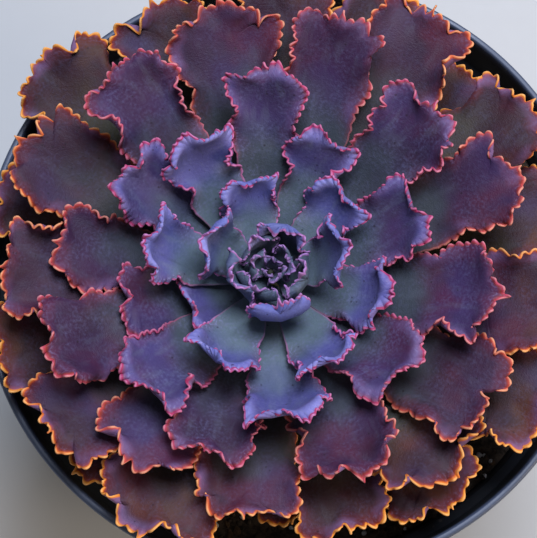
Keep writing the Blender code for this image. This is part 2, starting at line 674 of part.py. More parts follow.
def build_pot():
    """A tapered wall that steps out into a thicker rim band, with drain holes in the floor."""
    band = POT_HEIGHT - BAND_HEIGHT
    inner_foot = inner_wall_radius(FLOOR)
    inner_neck = inner_wall_radius(band)
    profile = (
        (0, 0),
        (BASE_RADIUS, 0),
        (inner_foot + WALL, BASE_EDGE),
        (inner_neck + WALL, band - BAND_INSET),
        (RIM_RADIUS - BAND_TAPER, band),
        (RIM_RADIUS, POT_HEIGHT - RIM_EDGE),
        (RIM_RADIUS - RIM_ROUNDING, POT_HEIGHT),
        (RIM_RADIUS - RIM_WIDTH + RIM_ROUNDING, POT_HEIGHT),
        (RIM_RADIUS - RIM_WIDTH, POT_HEIGHT - RIM_EDGE),
        (RIM_RADIUS - RIM_WIDTH - BAND_INSET, band + BAND_FILLET),
        (inner_neck, band - BAND_FILLET),
        (inner_foot, FLOOR),
        (0, FLOOR),
    )
    material = make_material("black plastic", (0.016, 0.018, 0.022), 0.38)
    pot = add_object("pot", turned("pot", profile, POT_SIDES), material)
    shade_round(pot, 40)
    for i in range(DRAIN_HOLES):
        angle = 2 * math.pi * (i + DRAIN_START) / DRAIN_HOLES
        x = DRAIN_CIRCLE_RADIUS * math.cos(angle)
        y = DRAIN_CIRCLE_RADIUS * math.sin(angle)
        name = f"drain_hole_{i + 1}"
        cut(pot, add_cutter(name, DRAIN_HOLE_RADIUS, 4 * FLOOR, DRAIN_HOLE_SIDES, (x, y, 0)))


def build_soil():
    """The filling of the pot: a low mound with a rough top and a plain hole for the stem."""
    rng = random.Random(7)
    bottom = FLOOR + GAP
    foot = inner_wall_radius(bottom) - GAP
    brim = inner_wall_radius(SOIL_TOP) - GAP
    profile = [(0, bottom), (foot, bottom)]
    for i in range(SOIL_RINGS):
        share = i / SOIL_RINGS
        profile.append((brim * (1 - share), SOIL_TOP + SOIL_MOUND * smooth(share)))
    profile.append((0, SOIL_TOP + SOIL_MOUND))
    mesh = turned("soil", profile, POT_SIDES)
    for vert in mesh.vertices:
        if vert.co.z > MM * (SOIL_TOP + 0.1):
            vert.co.z += MM * rng.uniform(-SOIL_ROUGHNESS, SOIL_ROUGHNESS)
    material = make_material("potting mix", (0.055, 0.042, 0.034), 0.95)
    soil = add_object("soil", mesh, material)
    hole_bottom = STEM_BOTTOM - GAP
    hole_height = 2 * (SOIL_TOP - hole_bottom)
    hole = add_cutter("stem_hole", stem_radius(SOIL_TOP) + GAP, hole_height, STEM_SIDES,
                      (STEM_X, STEM_Y, hole_bottom + hole_height / 2))
    cut(soil, hole)


def stem_radius(height):
    """Radius of the stem, which keeps just inside the roots of the leaves that it carries."""
    rows = MIDDLE_LINES[::-1]
    heights = [SOIL_TOP] + [row[2] for row in rows]
    radii = [rows[0][1] + STEM_FLARE] + [row[1] for row in rows]
    return between(height, heights, radii) - ROOT_CLEARANCE


def build_stem(leaves, leaf_material):
    """The stem and, fused to its tip, the heart's smallest leaves."""
    top = MIDDLE_LINES[0][2]
    profile = [(0, STEM_BOTTOM), (STEM_FOOT_TAPER * STEM_FOOT_RADIUS, STEM_BOTTOM)]
    profile.append((STEM_FOOT_RADIUS, STEM_BOTTOM + STEM_FOOT_HEIGHT))
    for i in range(STEM_RINGS):
        height = SOIL_TOP + (top - SOIL_TOP) * i / (STEM_RINGS - 1)
        profile.append((max(stem_radius(height), NECK_SHARE * BUD_RADIUS), height))
    profile += [(BUD_RADIUS, top + BUD_FOOT), (BUD_RADIUS, top + BUD_SHOULDER * BUD_HEIGHT)]
    profile.append((0, top + BUD_HEIGHT))
    mesh = turned("stem", profile, STEM_SIDES)
    mesh.transform(Matrix.Translation((MM * STEM_X, MM * STEM_Y, 0)))
    stem = add_object("stem", mesh, leaf_material)
    shade_round(stem, 60)
    buds = bpy.data.collections.new("heart leaves")
    for leaf in leaves:
        bud = add_leaf(f"heart_{leaf.order}", leaf, HEART_RIBS, leaf_material, sunk=ROOT_DEPTH)
        bpy.context.scene.collection.objects.unlink(bud)
        buds.objects.link(bud)
    join_and_remove(stem, buds)


def join_and_remove(obj, collection):
    """Union everything in the collection with the object, and then remove the collection's objects."""
    bpy.context.scene.collection.children.link(collection)
    modifier = obj.modifiers.new("join", "BOOLEAN")
    modifier.operation = "UNION"
    modifier.solver = "MANIFOLD"
    modifier.operand_type = "COLLECTION"
    modifier.collection = collection
    depsgraph = bpy.context.evaluated_depsgraph_get()
    joined = bpy.data.meshes.new_from_object(obj.evaluated_get(depsgraph))
    obj.modifiers.clear()
    keep_largest_shell(joined)
    obj.data = joined
    for piece in list(collection.objects):
        bpy.data.objects.remove(piece, do_unlink=True)
    bpy.data.collections.remove(collection)


def keep_largest_shell(mesh):
    """Remove the scraps and the sealed pockets that a union leaves, which are shells of their own."""
    bm = bmesh.new()
    bm.from_mesh(mesh)
    shells = []
    unseen = set(bm.faces)
    while unseen:
        shell = {unseen.pop()}
        front = list(shell)
        while front:
            face = front.pop()
            for edge in face.edges:
                for other in edge.link_faces:
                    if other in unseen:
                        unseen.remove(other)
                        shell.add(other)
                        front.append(other)
        shells.append(shell)
    largest = max(shells, key=len)
    loose = [face for shell in shells if shell is not largest for face in shell]
    bmesh.ops.delete(bm, geom=loose, context="FACES")
    bm.to_mesh(mesh)
    bm.free()


def rib_places(leaf, ribs):
    """Distances from the tip along the margin where ribs end: crests and hollows of the waves, then even
    steps down the plain side to the root."""
    waved = min(leaf.shoulder + WAVE_PAST + RIBBED_SHARE * leaf.length, LARGEST_RIBBED * leaf.edge)
    crests = [i * leaf.wave / 2 for i in range(1, ribs) if i * leaf.wave / 2 < waved]
    crests = crests[:ribs - 3]
    for place, _ in NOTCHES.get(leaf.order, ()):
        nearest = min(range(len(crests)), key=lambda i: abs(crests[i] - abs(place)))
        crests[nearest] = abs(place)
    crests = sorted(set(crests))
    left = ribs - len(crests)
    start = crests[-1]
    return [0.0] + crests + [start + (leaf.edge - start) * (i + 1) / left for i in range(left)]


def add_leaf(name, leaf, ribs, material, sunk=0.0):
    """A blade made of ribs that fan out from the midrib. Both sides share the midrib's points."""
    places = rib_places(leaf, ribs)
    points = []
    weights = []
    thickest = max(leaf.thickness(place, 0.0) for place in places)
    index = {}
    for side in (1, -1):
        for i, place in enumerate(places):
            for j, share in enumerate(RING_SHARES):
                if side < 0 and (i == 0 or j == 0):
                    index[side, i, j] = index[1, i, j]
                    continue
                point = leaf.point(side * place, share)
                if sunk and i == len(places) - 1:
                    point.z -= sunk
                index[side, i, j] = len(points)
                points.append(point)
                weights.append(leaf.thickness(place, share) / thickest)
    faces = []
    for side in (1, -1):
        for i in range(len(places) - 1):
            for j in range(len(RING_SHARES) - 1):
                a, b = index[side, i, j], index[side, i, j + 1]
                c, d = index[side, i + 1, j + 1], index[side, i + 1, j]
                halves = [(a, b, c), (a, c, d)]
                if side < 0:
                    halves = [tuple(reversed(half)) for half in halves]
                faces.extend(half for half in halves if len(set(half)) == 3)
    mesh = mesh_from_points(name, points, faces)
    obj = add_object(name, mesh, material)
    group = obj.vertex_groups.new(name="thickness")
    for i, weight in enumerate(weights):
        group.add([i], weight, "REPLACE")
    thicken = obj.modifiers.new("thickness", "SOLIDIFY")
    thicken.thickness = MM * thickest
    thicken.offset = 0.0
    thicken.vertex_group = group.name
    obj.data.shade_smooth()
    return obj


def leaf_colour(order):
    """Blue-lavender at the heart, plum in the middle and mauve-brown at the rim."""
    inner, outer = (0.115, 0.120, 0.290), (0.150, 0.062, 0.085)
    share = smooth(order / 60)
    return tuple(a + (b - a) * share for a, b in zip(inner, outer))


def build_leaves(leaves):
    for number, leaf in enumerate(leaves, start=1):
        if leaf.width < MIDDLE_WIDTH:
            ribs = NARROW_RIBS
        elif leaf.width < BROAD_WIDTH:
            ribs = MIDDLE_RIBS
        else:
            ribs = BROAD_RIBS
        material = make_material(f"leaf {number:02d}", leaf_colour(leaf.order), 0.5)
        add_leaf(f"leaf_{number:02d}", leaf, ribs, material)


def main():
    clear_scene()
    build_pot()
    build_soil()
    heart = [Leaf(*row) for row in HEART_LEAVES]
    leaves = [Leaf(*row) for row in LEAVES]
    for leaf in heart + leaves:
        leaf.set_room(heart + leaves)
    build_stem(heart, make_material("heart of the rosette", leaf_colour(0), 0.5))
    build_leaves(leaves)


main()
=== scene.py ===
"""A ruffled echeveria in a black nursery pot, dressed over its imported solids.

Lengths inside the leaf shapes and the stem's profile are in millimetres, as in the solids' own design, and
become metres when a mesh is made. Every other length is in metres.
"""
import math
import random

import bmesh
import bpy
import numpy as np
from mathutils import Matrix, Vector


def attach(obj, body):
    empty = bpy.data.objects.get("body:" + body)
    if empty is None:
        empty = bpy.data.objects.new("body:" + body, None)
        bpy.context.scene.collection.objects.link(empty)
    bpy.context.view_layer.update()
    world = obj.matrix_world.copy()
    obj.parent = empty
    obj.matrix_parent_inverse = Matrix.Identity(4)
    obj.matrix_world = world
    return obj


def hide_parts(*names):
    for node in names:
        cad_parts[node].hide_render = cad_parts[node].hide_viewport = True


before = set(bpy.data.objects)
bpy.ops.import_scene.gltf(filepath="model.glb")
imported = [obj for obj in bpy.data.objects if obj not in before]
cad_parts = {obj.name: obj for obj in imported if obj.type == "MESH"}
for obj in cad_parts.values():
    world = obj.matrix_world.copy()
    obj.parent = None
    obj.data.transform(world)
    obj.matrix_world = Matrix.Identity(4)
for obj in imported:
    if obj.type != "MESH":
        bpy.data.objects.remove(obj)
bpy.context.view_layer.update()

bl_info = {
    "name": "Potted echeveria",
    "version": (1, 0, 0),
    "blender": (4, 5, 0),
    "location": "3D View > Sidebar > Echeveria",
    "description": "Makes the pot, the potting mix, the stem and the ruffled leaves of a potted echeveria",
    "category": "Add Mesh",
}

MM = 0.001

# The rosette, in millimetres and degrees
STEM_X = -6.6
STEM_Y = -6.9
SPIRAL_TURN = -138.0
SPIRAL_START = 225.0
OLDEST_ORDER = 65

# The middle line of the leaf at some orders of the spiral; the others lie in between.
# order, root radius, root height, root slope, tip radius, tip height, tip slope
MIDDLE_LINES = (
    (0, 0.3, 166.5, 70, 2.5, 174.0, 100),
    (3, 0.8, 165.6, 58, 5.5, 177.0, 102),
    (6, 2.2, 164.2, 38, 10.5, 180.5, 103),
    (10, 3.4, 162.6, 26, 17.0, 184.0, 102),
    (13, 4.4, 161.2, 22, 28.0, 187.0, 98),
    (17, 5.8, 159.3, 21, 39.5, 189.0, 88),
    (22, 7.0, 157.0, 20, 51.5, 189.5, 66),
    (28, 8.0, 154.2, 20, 65.0, 187.5, 42),
    (35, 8.8, 150.8, 20, 79.0, 182.5, 27),
    (45, 9.6, 145.6, 20, 91.0, 173.5, 14),
    (55, 10.2, 140.2, 18, 97.0, 163.0, 7),
    (65, 10.6, 134.8, 15, 100.0, 153.0, 3),
)
CLOSED_ORDER = 12                   # up to this order the heart is closed and its leaves stand upright
TURNED_IN = {3: 118, 5: 126, 7: 118, 10: 150}
TURNED_IN_HANDLE = 0.46             # how far each end's slope is kept there
CLOSED_BACK = 0.10                  # how far short of its reach its line ends there, as a share of its width
UPRIGHT_ORDER = 27                  # up to this order a longer leaf's whole middle line is drawn out
INNER_SHORT_RISE, OUTER_SHORT_RISE = 0.2, 0.05  # how far a shorter leaf's tip still rises
LINE_HANDLE = 0.36                  # how far each end's slope is kept, as a share of the leaf's chord
LINE_STEPS = 60
EXTRA_STEPS = 6                     # steps in which a leaf that reaches past its middle line levels off
LEVEL_OFF = 0.8                     # share of its slope that such a leaf loses
RUFFLE_SEED, CRIMP_SEED = 100, 900

# Stem, in millimetres: its foot and its bud as (radius, height) points, the bud's above the youngest leaf
STEM_FOOT = ((0, 98), (7.7, 98), (9.6, 101))
STEM_BUD = ((0.9, 1.2), (1.1, 2.6), (0, 4.4))
STEM_COLLAR, STEM_FLARE, STEM_RINGS, STEM_SIDES = 126.0, 0.2, 30, 48
ROOT_CLEARANCE, LEAST_STEM_RADIUS = 0.8, 0.66

# Pot, mix and stage, in metres
POT_FLOOR, WALL, BASE_INSET, NECK_INSET, POT_FILLET = 0.003, 0.0019, 0.0004, 0.0079, 0.0007
POT_SIDES, SHARP_ANGLE = 160, math.radians(35)
DRAIN_HOLES, DRAIN_RADIUS, DRAIN_CIRCLE_RADIUS, DRAIN_START = 8, 0.006, 0.046, 0.3
ROUNDED_SHARE = 0.45                # most of a profile's edge that the rounding of one corner takes
MIX_GAP, MIX_RINGS, MIX_SIDES, MIX_EDGE = 0.0003, 46, 168, 0.001
MIX_TOP_ZONE, MIX_WALL_ZONE = 0.0002, 0.0005    # from the level and from the wall, where there are no clods
LUMP_WAVES, LUMP_TURN, LUMP_START, LUMP_SHIFT = 6, 1.7, 0.4, 2.1
LUMP_PITCH, LUMP_FINER, LUMP_BEND, LUMP_BEND_PITCH, LARGEST_LUMP = 95.0, 1.55, 1.3, 0.6, 2.2
CLOD_SIZE, DENT_SCALE, DENT_SHARE = 0.0022, 900.0, 0.55
LEAST_UPRIGHT = 0.4                 # how far up a face of the mix has to look for crumbs to lie on it
FLOOR_HALF_WIDTH, FLOOR_DROP, SENSOR_WIDTH = 2.5, 0.0003, 36.0
LIGHT_TARGET, VIEW_TARGET = (0.0, 0.0, 0.15), (-0.0072, -0.0011, 0.150)

# Leaves: order, lean from the spiral's own angle (degrees), reach from the stem's axis and width
HEART_LEAVES = (
    (0, 10, 2.8, 6), (1, -12, 4.0, 9), (2, 6, 5.4, 11), (3, -12, 6.8, 14), (4, -10, 8.4, 16),
    (5, -18, 10.6, 20),
)
LEAVES = (
    (6, 4, 11, 19), (7, 0, 12.5, 20), (8, -1, 15, 24), (9, 5, 14, 24), (10, -4, 16, 25), (11, 10, 23, 25),
    (12, 3, 25, 26), (13, 11, 34, 27), (14, 13, 28, 24), (15, -14, 36, 25), (16, -7, 37, 26),
    (17, 7, 33, 25), (18, 15, 49, 30), (19, 0, 45, 27), (20, 2, 37, 27), (21, -1, 28, 26), (22, -2, 45, 25),
    (24, -7, 54, 27), (25, 6, 50, 29), (26, -13, 56, 31), (27, -7, 62, 27), (28, 0, 54, 32),
    (29, 11, 48, 29), (30, -1, 72, 33), (31, -16, 63, 32), (32, -1, 80, 33), (33, 1, 71, 34),
    (34, -12, 74, 33), (35, -1, 84, 33), (36, -4, 71, 36), (37, 14, 68, 29), (38, 1, 83, 31),
    (39, -9, 75, 34), (40, -4, 88, 38), (41, 1, 82, 37), (42, -9, 85, 36), (43, 7, 100, 37),
    (44, -9, 79, 37), (45, 17, 90, 35), (46, -4, 92, 37), (47, -2, 87, 38), (48, 6, 98, 35),
    (49, 9, 85, 39), (51, 7, 101, 34), (52, -5, 91, 42), (53, 2, 99, 37), (54, 0, 97, 38), (55, 2, 90, 36),
    (56, 10, 105, 34), (57, 8, 85, 34), (58, -6, 106, 37), (59, 12, 98, 34), (60, 0, 86, 26),
    (62, -1, 92, 33), (63, -11, 94, 30), (64, 12, 98, 25), (65, 20, 77, 26),
)

# Deep notches of the margin, by order: place along the margin from the tip and depth, in millimetres
NOTCHES = {
    24: ((4.0, 2.5),), 30: ((-13.0, 3.5),), 32: ((10.0, 3.0), (-6.0, 2.5)), 33: ((-15.0, 4.0), (7.0, 2.5)),
    35: ((-12.0, 4.0),), 36: ((13.0, 3.5), (-15.0, 5.0)), 37: ((12.0, 2.5),), 38: ((8.0, 4.0),),
    39: ((12.0, 3.5), (-9.0, 3.0)), 40: ((-16.0, 6.0), (9.0, 3.5)), 41: ((2.0, 6.0), (-14.0, 5.0)),
    42: ((-9.0, 4.0), (10.0, 3.0)), 43: ((-9.0, 3.0), (7.0, 5.0)), 44: ((-15.0, 5.5), (10.0, 4.0)),
    45: ((-14.0, 6.0), (9.0, 4.0)), 46: ((-8.0, 4.0),), 47: ((-9.0, 3.5), (11.0, 4.0)), 48: ((10.0, 4.0),),
    49: ((-15.0, 4.0), (8.0, 3.0)), 51: ((11.0, 5.0), (-11.0, 4.0)), 52: ((-12.0, 4.0), (10.0, 3.5)),
    53: ((9.0, 4.0), (-12.0, 3.0)), 56: ((6.0, 4.0),), 58: ((-10.0, 4.5), (7.0, 3.0)), 62: ((-6.0, 4.0),),
}
NOTCH_HALF_WIDTH, NOTCH_STEEPNESS = 2.4, 2.2
NOTCH_REACH = 1.5                   # how far into the blade a notch is felt, as a share of its depth
NOTCH_SIDES = 1.3                   # where the blade stands up beside a notch, in half widths from its middle
NOTCH_SIDE_WIDTH, NOTCH_SIDE_LIFT, NOTCH_SIDE_DEPTH, NOTCH_SIDE_FALL = 1.6, 0.8, 1.8, 1.5

# First and last order of the stretches of the spiral over which a feature of the leaves changes
HEART_ORDERS, BUD_ORDERS = (4, 8), (9, 14)
YOUNG_LIP_ORDERS, OUTER_LIP_ORDERS = (9, 13), (20, 30)
CUP_ORDERS, BLUNT_ORDERS, WAVE_ORDERS = (6, 33), (12, 42), (20, 40)
CRIMP_LENGTH_ORDERS, CRIMP_HEIGHT_ORDERS, MARGIN_ORDERS = (18, 52), (6, 24), (0, 20)

# Outline of a leaf, in shares of its width unless it says otherwise
SIDE_SAMPLES = 24                   # points that describe each half of a leaf's outline
SAMPLE_STEP = 0.5                   # half of the stretch over which a curve's direction is measured
ROOT_HALF_WIDTH, ROOT_HALF_SHARE = 0.3, 0.42    # at the root: share of the width, most share of its radius
SHOULDER_BACK = 0.36                # from the tip back to the shoulder
SIDE_END_BACK, SIDE_END_HALF_WIDTH = 0.10, 0.485
CORNER_BACK, CORNER_HALF_WIDTH = 0.04, 0.55     # the first of the two points that draw out the corner
LARGEST_END_BACK, END_HALF_WIDTH = 0.03, 0.44   # the second, which sets how square the end is
SIDE_FLARE = 1.05                   # how late a side widens from its narrow root
RIB_BACK = 0.14                     # how far a rib leans back from the margin, as a share of the length

# Waves, swells and hollows of a blade: millimetres, radians, and shares of its width where the name ends so
WAVE_LENGTH, WAVE_LENGTH_SHARE, WAVE_HEIGHT_SHARE = 4.6, 0.13, 0.062
WAVE_COUNT = 48                     # half waves on a whole margin whose sizes are chosen
WAVE_PAST, WAVE_FADE = 4.0, 0.28    # past the shoulder, where they start to fade; share of the length they need
WAVE_SHIFT, WAVE_LEAD = 0.4, 0.6    # how far the first strays from the tip; how far its dent leads its crest
WAVE_LIFT, WAVE_LIFT_LESS = 0.75, 0.30          # share of its height that the margin rises, less at the rim
SMALLEST_WAVE, WAVE_SPREAD, WAVE_RARITY = 0.25, 1.25, 1.6
LARGEST_WARP, LARGEST_CRIMP_WARP = 0.14, 0.13   # how far a wave or a crimp strays, as a share of a turn
WAVE_INWARD, WAVE_ROUNDNESS, DENT_DEPTH_SHARE = 0.8, 1.4, 0.15
WAVE_DEPTH, WAVE_DEPTH_SHARE, WAVE_FALL = 0.8, 0.035, 1.4
SWELL_LENGTH_SHARE, SWELL_DEPTH_SHARE, SWELL_FALL = 0.66, 0.2, 1.5
SWELL_LIFT_SHARE, SWELL_LIFT_LESS, SWELL_INWARD_SHARE = 0.085, 0.035, 0.07
BAY_ROUNDNESS = 1.7                 # how narrow the bays between two lobes are
CUP_SHARE, CUP_LESS = 0.14, 0.07    # how hollow a blade is, less at the rim
TIP_CUP, CUP_RISE = 0.55, 1.5       # share of that hollow that is left at the tip, and how late it returns
CUP_START, CUP_RUN = 0.50, 0.40     # shares of the length where it starts and over which it deepens
LARGEST_TWIST, TWIST_START, TWIST_RUN = 0.05, 0.4, 0.5
ROLL_HEIGHT_SHARE, ROLL_LENGTH_SHARE, ROLL_WIDTH_SHARE = 0.035, 0.55, 0.45
ALONG_ROLL, ACROSS_ROLL = (2.4, 1.1), (0.8, 2.9)
ROLL_START, ROLL_RUN, ROLL_EDGE = 0.3, 0.4, 4.0 # the last: from the margin, where they level off

# The outward roll of the margin and the curled shoulders
TURNED_IN_LIP, HEART_LIP, YOUNG_LIP_MORE, OUTER_LIP_MORE = 0.2, 0.42, 0.44, 0.16
LIP_DEPTH, LIP_DEPTH_SHARE, LIP_SWELL = 1.0, 0.10, 0.35
LIP_END, LIP_FADE = 0.95, 0.65      # where the lip ends and how it fades: shares of the way to the shoulder
CURL_TURN, CURL_DEPTH_SHARE, CURL_SPREAD_SHARE = 2.6, 0.22, 0.20
CURL_PLACES, CURL_TIGHTNESS, CURL_WAYS = (0.9, 1.25), (0.6, 1.0), (1, 1, -1, 0)

# Fine crimps of the margin, and the spike at the tip
CRIMP_COUNT = 160
CRIMP_SIZES, CRIMP_ROUNDNESS, CRIMP_LEAD, CRIMP_SHARE = (0.70, 1.30), 1.7, 0.8, 0.85
YOUNG_CRIMP_LENGTH, CRIMP_LENGTH_MORE = 0.92, 0.70
YOUNG_CRIMP_HEIGHT, CRIMP_HEIGHT_MORE = 0.48, 0.52
CRIMP_GAIN, CRIMP_REST = 1.4, 0.12  # crimps outlast the waves down the side, and never quite leave it
CRIMP_RISE, CRIMP_RISE_DEPTH, CRIMP_RISE_FALL = 0.8, 1.1, 1.4
CRIMP_OUT_DEPTH, CRIMP_OUT_FALL = 1.3, 1.5
COVERED_CRIMP_LESS = 0.6            # share of the rise that a crimp loses under a younger leaf
SPIKE_LENGTH, SPIKE_HALF_WIDTH, SPIKE_DEPTH = 2.0, 0.55, 0.7

# Room round the stem and between the leaves
ROOT_WIDEST, WIDEST, BUD_WIDER, HEART_WIDER = 0.42, 0.50, 0.34, 0.16    # half angles in radians
WIDENING_SHARE = 0.35               # share of the length by which that angle has opened from the root's
SPAN_SHARE = 1.6                    # a blade's width over the half arc that it is counted to cover
NEIGHBOURS = 3                      # leaves above and below that limit a blade's ruffles
FREE_ROOM, BODY_ROOM, LEAST_ROOM = 12.0, 0.75, 0.05
WIDTH_POWER, ROOM_POWER = 5, 4      # how sharply a blade's width and its rises stop at their limits
COVERING_ORDERS = 22                # how much younger the leaves are at most that can lie over a blade
COVER_EDGE, COVER_FADE = 4.0, 5.0

# Thickness and mesh of a blade. Its rings go from the midrib (0) to the margin (1).
ROOT_THICKNESS, FLESH, FLESH_SHARE = 0.85, 0.8, 0.032
FLESH_START, FLESH_RUN = 0.25, 0.5  # shares of the length where it starts to thicken and over which it does
YOUNG_MARGIN, MARGIN_MORE = 0.7, 0.3
SPIKE_THINNER, SPIKE_THIN_WIDTH = 0.45, 1.0
MARGIN_OUT, MARGIN_UP = 0.62, 0.72  # the two edges of the rounded margin, as shares of its radius
UPPER_RINGS = (0.0, 0.28, 0.5, 0.66, 0.78, 0.86, 0.91, 0.95, 0.98, 1.0)
LOWER_RINGS = (0.0, 0.5, 0.78, 0.91, 0.98, 1.0)
RIB_STEP, SPIKE_RIB_LESS, SPIKE_RIBS, SIDE_RIB_MORE = 0.36, 0.18, 1.2, 1.5
UP_MEASURED = 0.85                  # share of the length where a blade's inner face is told from its outer one
PATTERN_STEP, PATTERN_SCALE = 53.0, 0.01        # keeps the patterns of two leaves apart; millimetres to units


# Settings

def number(name, description, default, **options):
    return bpy.props.FloatProperty(name=name, description=description, default=default, **options)


def length(name, description, default):
    return number(name, description, default, min=0.0, unit="LENGTH", precision=4)


def share_of_one(name, description, default):
    return number(name, description, default, min=0.0, max=1.0, subtype="FACTOR")


def colour(name, description, default):
    return bpy.props.FloatVectorProperty(name=name, description=description, default=default, size=3, min=0.0,
                                         max=1.0, subtype="COLOR")


class PotSettings(bpy.types.PropertyGroup):
    """Sizes and finish of the pot"""
    height: length("Height", "From the surface it stands on to the top of the rim", 0.150)
    rim_radius: length("Rim radius", "Outer radius at the rim", 0.100)
    base_radius: length("Base radius", "Outer radius at the base", 0.069)
    band_height: length("Band height", "Height of the stepped band under the rim", 0.016)
    plastic: colour("Plastic", "Colour of the pot", (0.012, 0.014, 0.018))
    roughness: share_of_one("Roughness", "Roughness of the clean plastic", 0.36)


class MixSettings(bpy.types.PropertyGroup):
    """Sizes and colours of the potting mix"""
    level: length("Level", "Height of the mix at the pot's wall", 0.126)
    mound: length("Mound", "Rise of the mix towards the stem", 0.003)
    grain: length("Roughness", "Height of the clods on top of the mix", 0.0011)
    perlite_size: length("Perlite size", "Width of a common perlite grain", 0.0019)
    chip_size: length("Bark size", "Length of a common bark chip", 0.0048)
    dark: colour("Dark mix", "Colour of the moist mix", (0.018, 0.012, 0.009))
    light: colour("Dry mix", "Colour of the dry crumbs", (0.100, 0.070, 0.046))


class LeafSettings(bpy.types.PropertyGroup):
    """Sizes and colours of the leaves"""
    crimp_length: length("Crimp length", "Distance between two crimps of a young margin", 0.0023)
    crimp_height: length("Crimp height", "How far a crimp stands out", 0.00070)
    margin_thickness: length("Margin thickness", "Thickness of the blade at its margin", 0.00065)
    curl: share_of_one("Curl", "How tightly the shoulders curl", 0.8)
    heart: colour("Heart", "Colour of the youngest leaves", (0.076, 0.102, 0.122))
    inner: colour("Inner leaves", "Colour of the young blades", (0.108, 0.108, 0.310))
    middle: colour("Middle leaves", "Colour of the grown blades", (0.051, 0.019, 0.057))
    outer: colour("Outer leaves", "Colour of the oldest blades", (0.051, 0.021, 0.021))
    root: colour("Leaf bases", "Colour of the shaded lower half of a young blade", (0.128, 0.174, 0.192))
    bronze: colour("Bronze", "Colour in the middle of the oldest blades", (0.070, 0.060, 0.022))


class StageSettings(bpy.types.PropertyGroup):
    """Floor, lights and camera"""
    floor: colour("Floor", "Colour of the floor", (0.62, 0.61, 0.58))
    warm_light: number("Warm light", "Power of the warm light on the right", 6.0, min=0.0, unit="POWER")
    cool_light: number("Cool light", "Power of the cool light overhead", 22.0, min=0.0, unit="POWER")
    sky: number("Sky", "Strength of the even light from all round", 0.16, min=0.0)
    elevation: number("Elevation", "Camera's angle above the horizon", math.radians(76.0), subtype="ANGLE",
                      unit="ROTATION")
    distance: length("Distance", "From the camera to the rim's plane along its view", 0.650)
    lens: number("Lens", "Focal length in millimetres", 135.48, unit="CAMERA")


# Leaf shapes

def smooth(x):
    """Ease from 0 to 1 as x goes from 0 to 1."""
    x = np.clip(x, 0.0, 1.0)
    return x * x * (3 - 2 * x)


def ripe(order, orders):
    """Ease from 0 to 1 as the order goes from the first to the last of two orders."""
    return float(smooth((order - orders[0]) / (orders[1] - orders[0])))


def fade(distance, reach, fall=1):
    """Share of an effect that is left at a distance from where it is full."""
    return np.exp(-(distance / reach) ** fall)


def rolled(depth, curled, turn):
    """Rise and pull-in of a margin whose last `curled` millimetres bend through `turn` radians."""
    turn = np.maximum(turn, 1e-4)
    radius = np.maximum(curled, 1e-4) / turn
    bent = np.maximum(curled - depth, 0.0)
    return radius * (1 - np.cos(bent / radius)), bent - radius * np.sin(bent / radius)


def unit(vectors):
    """The same directions, one unit long."""
    return vectors / np.maximum(np.linalg.norm(vectors, axis=-1, keepdims=True), 1e-9)


def lengths_along(points):
    """Distance along a polyline, from its first point to each of them."""
    return np.concatenate(([0.0], np.cumsum(np.linalg.norm(np.diff(points, axis=0), axis=1))))


def followed(at, places, points):
    """Position on a polyline at distances along it, and the unit direction there."""
    x, y = (np.interp(at, places, points[:, i]) for i in (0, 1))
    near = np.clip(at, SAMPLE_STEP, places[-1] - SAMPLE_STEP)
    dx, dy = (np.interp(near + SAMPLE_STEP, places, points[:, i])
              - np.interp(near - SAMPLE_STEP, places, points[:, i]) for i in (0, 1))
    size = np.hypot(dx, dy)
    return x, y, dx / size, dy / size


def curve(u, start, leave, arrive, end):
    """Points of a cubic curve."""
    v = 1 - u
    return v ** 3 * start + 3 * u * v * v * leave + 3 * u * u * v * arrive + u ** 3 * end


def middle_line(order):
    """Root radius, height and slope and tip radius, height and slope of a leaf's middle line."""
    rows = np.array(MIDDLE_LINES, dtype=float)
    return [float(np.interp(order, rows[:, 0], rows[:, i])) for i in range(1, 7)]


def arc(start, end, slope0, slope1, handle_share=LINE_HANDLE):
    """A curve that leaves its start and arrives at its end at the given slopes."""
    start, end = np.array(start), np.array(end)
    handle = handle_share * math.dist(start, end)
    leave = start + handle * np.array((math.cos(slope0), math.sin(slope0)))
    arrive = end - handle * np.array((math.cos(slope1), math.sin(slope1)))
    return curve(np.linspace(0, 1, LINE_STEPS + 1)[:, None], start, leave, arrive, end)


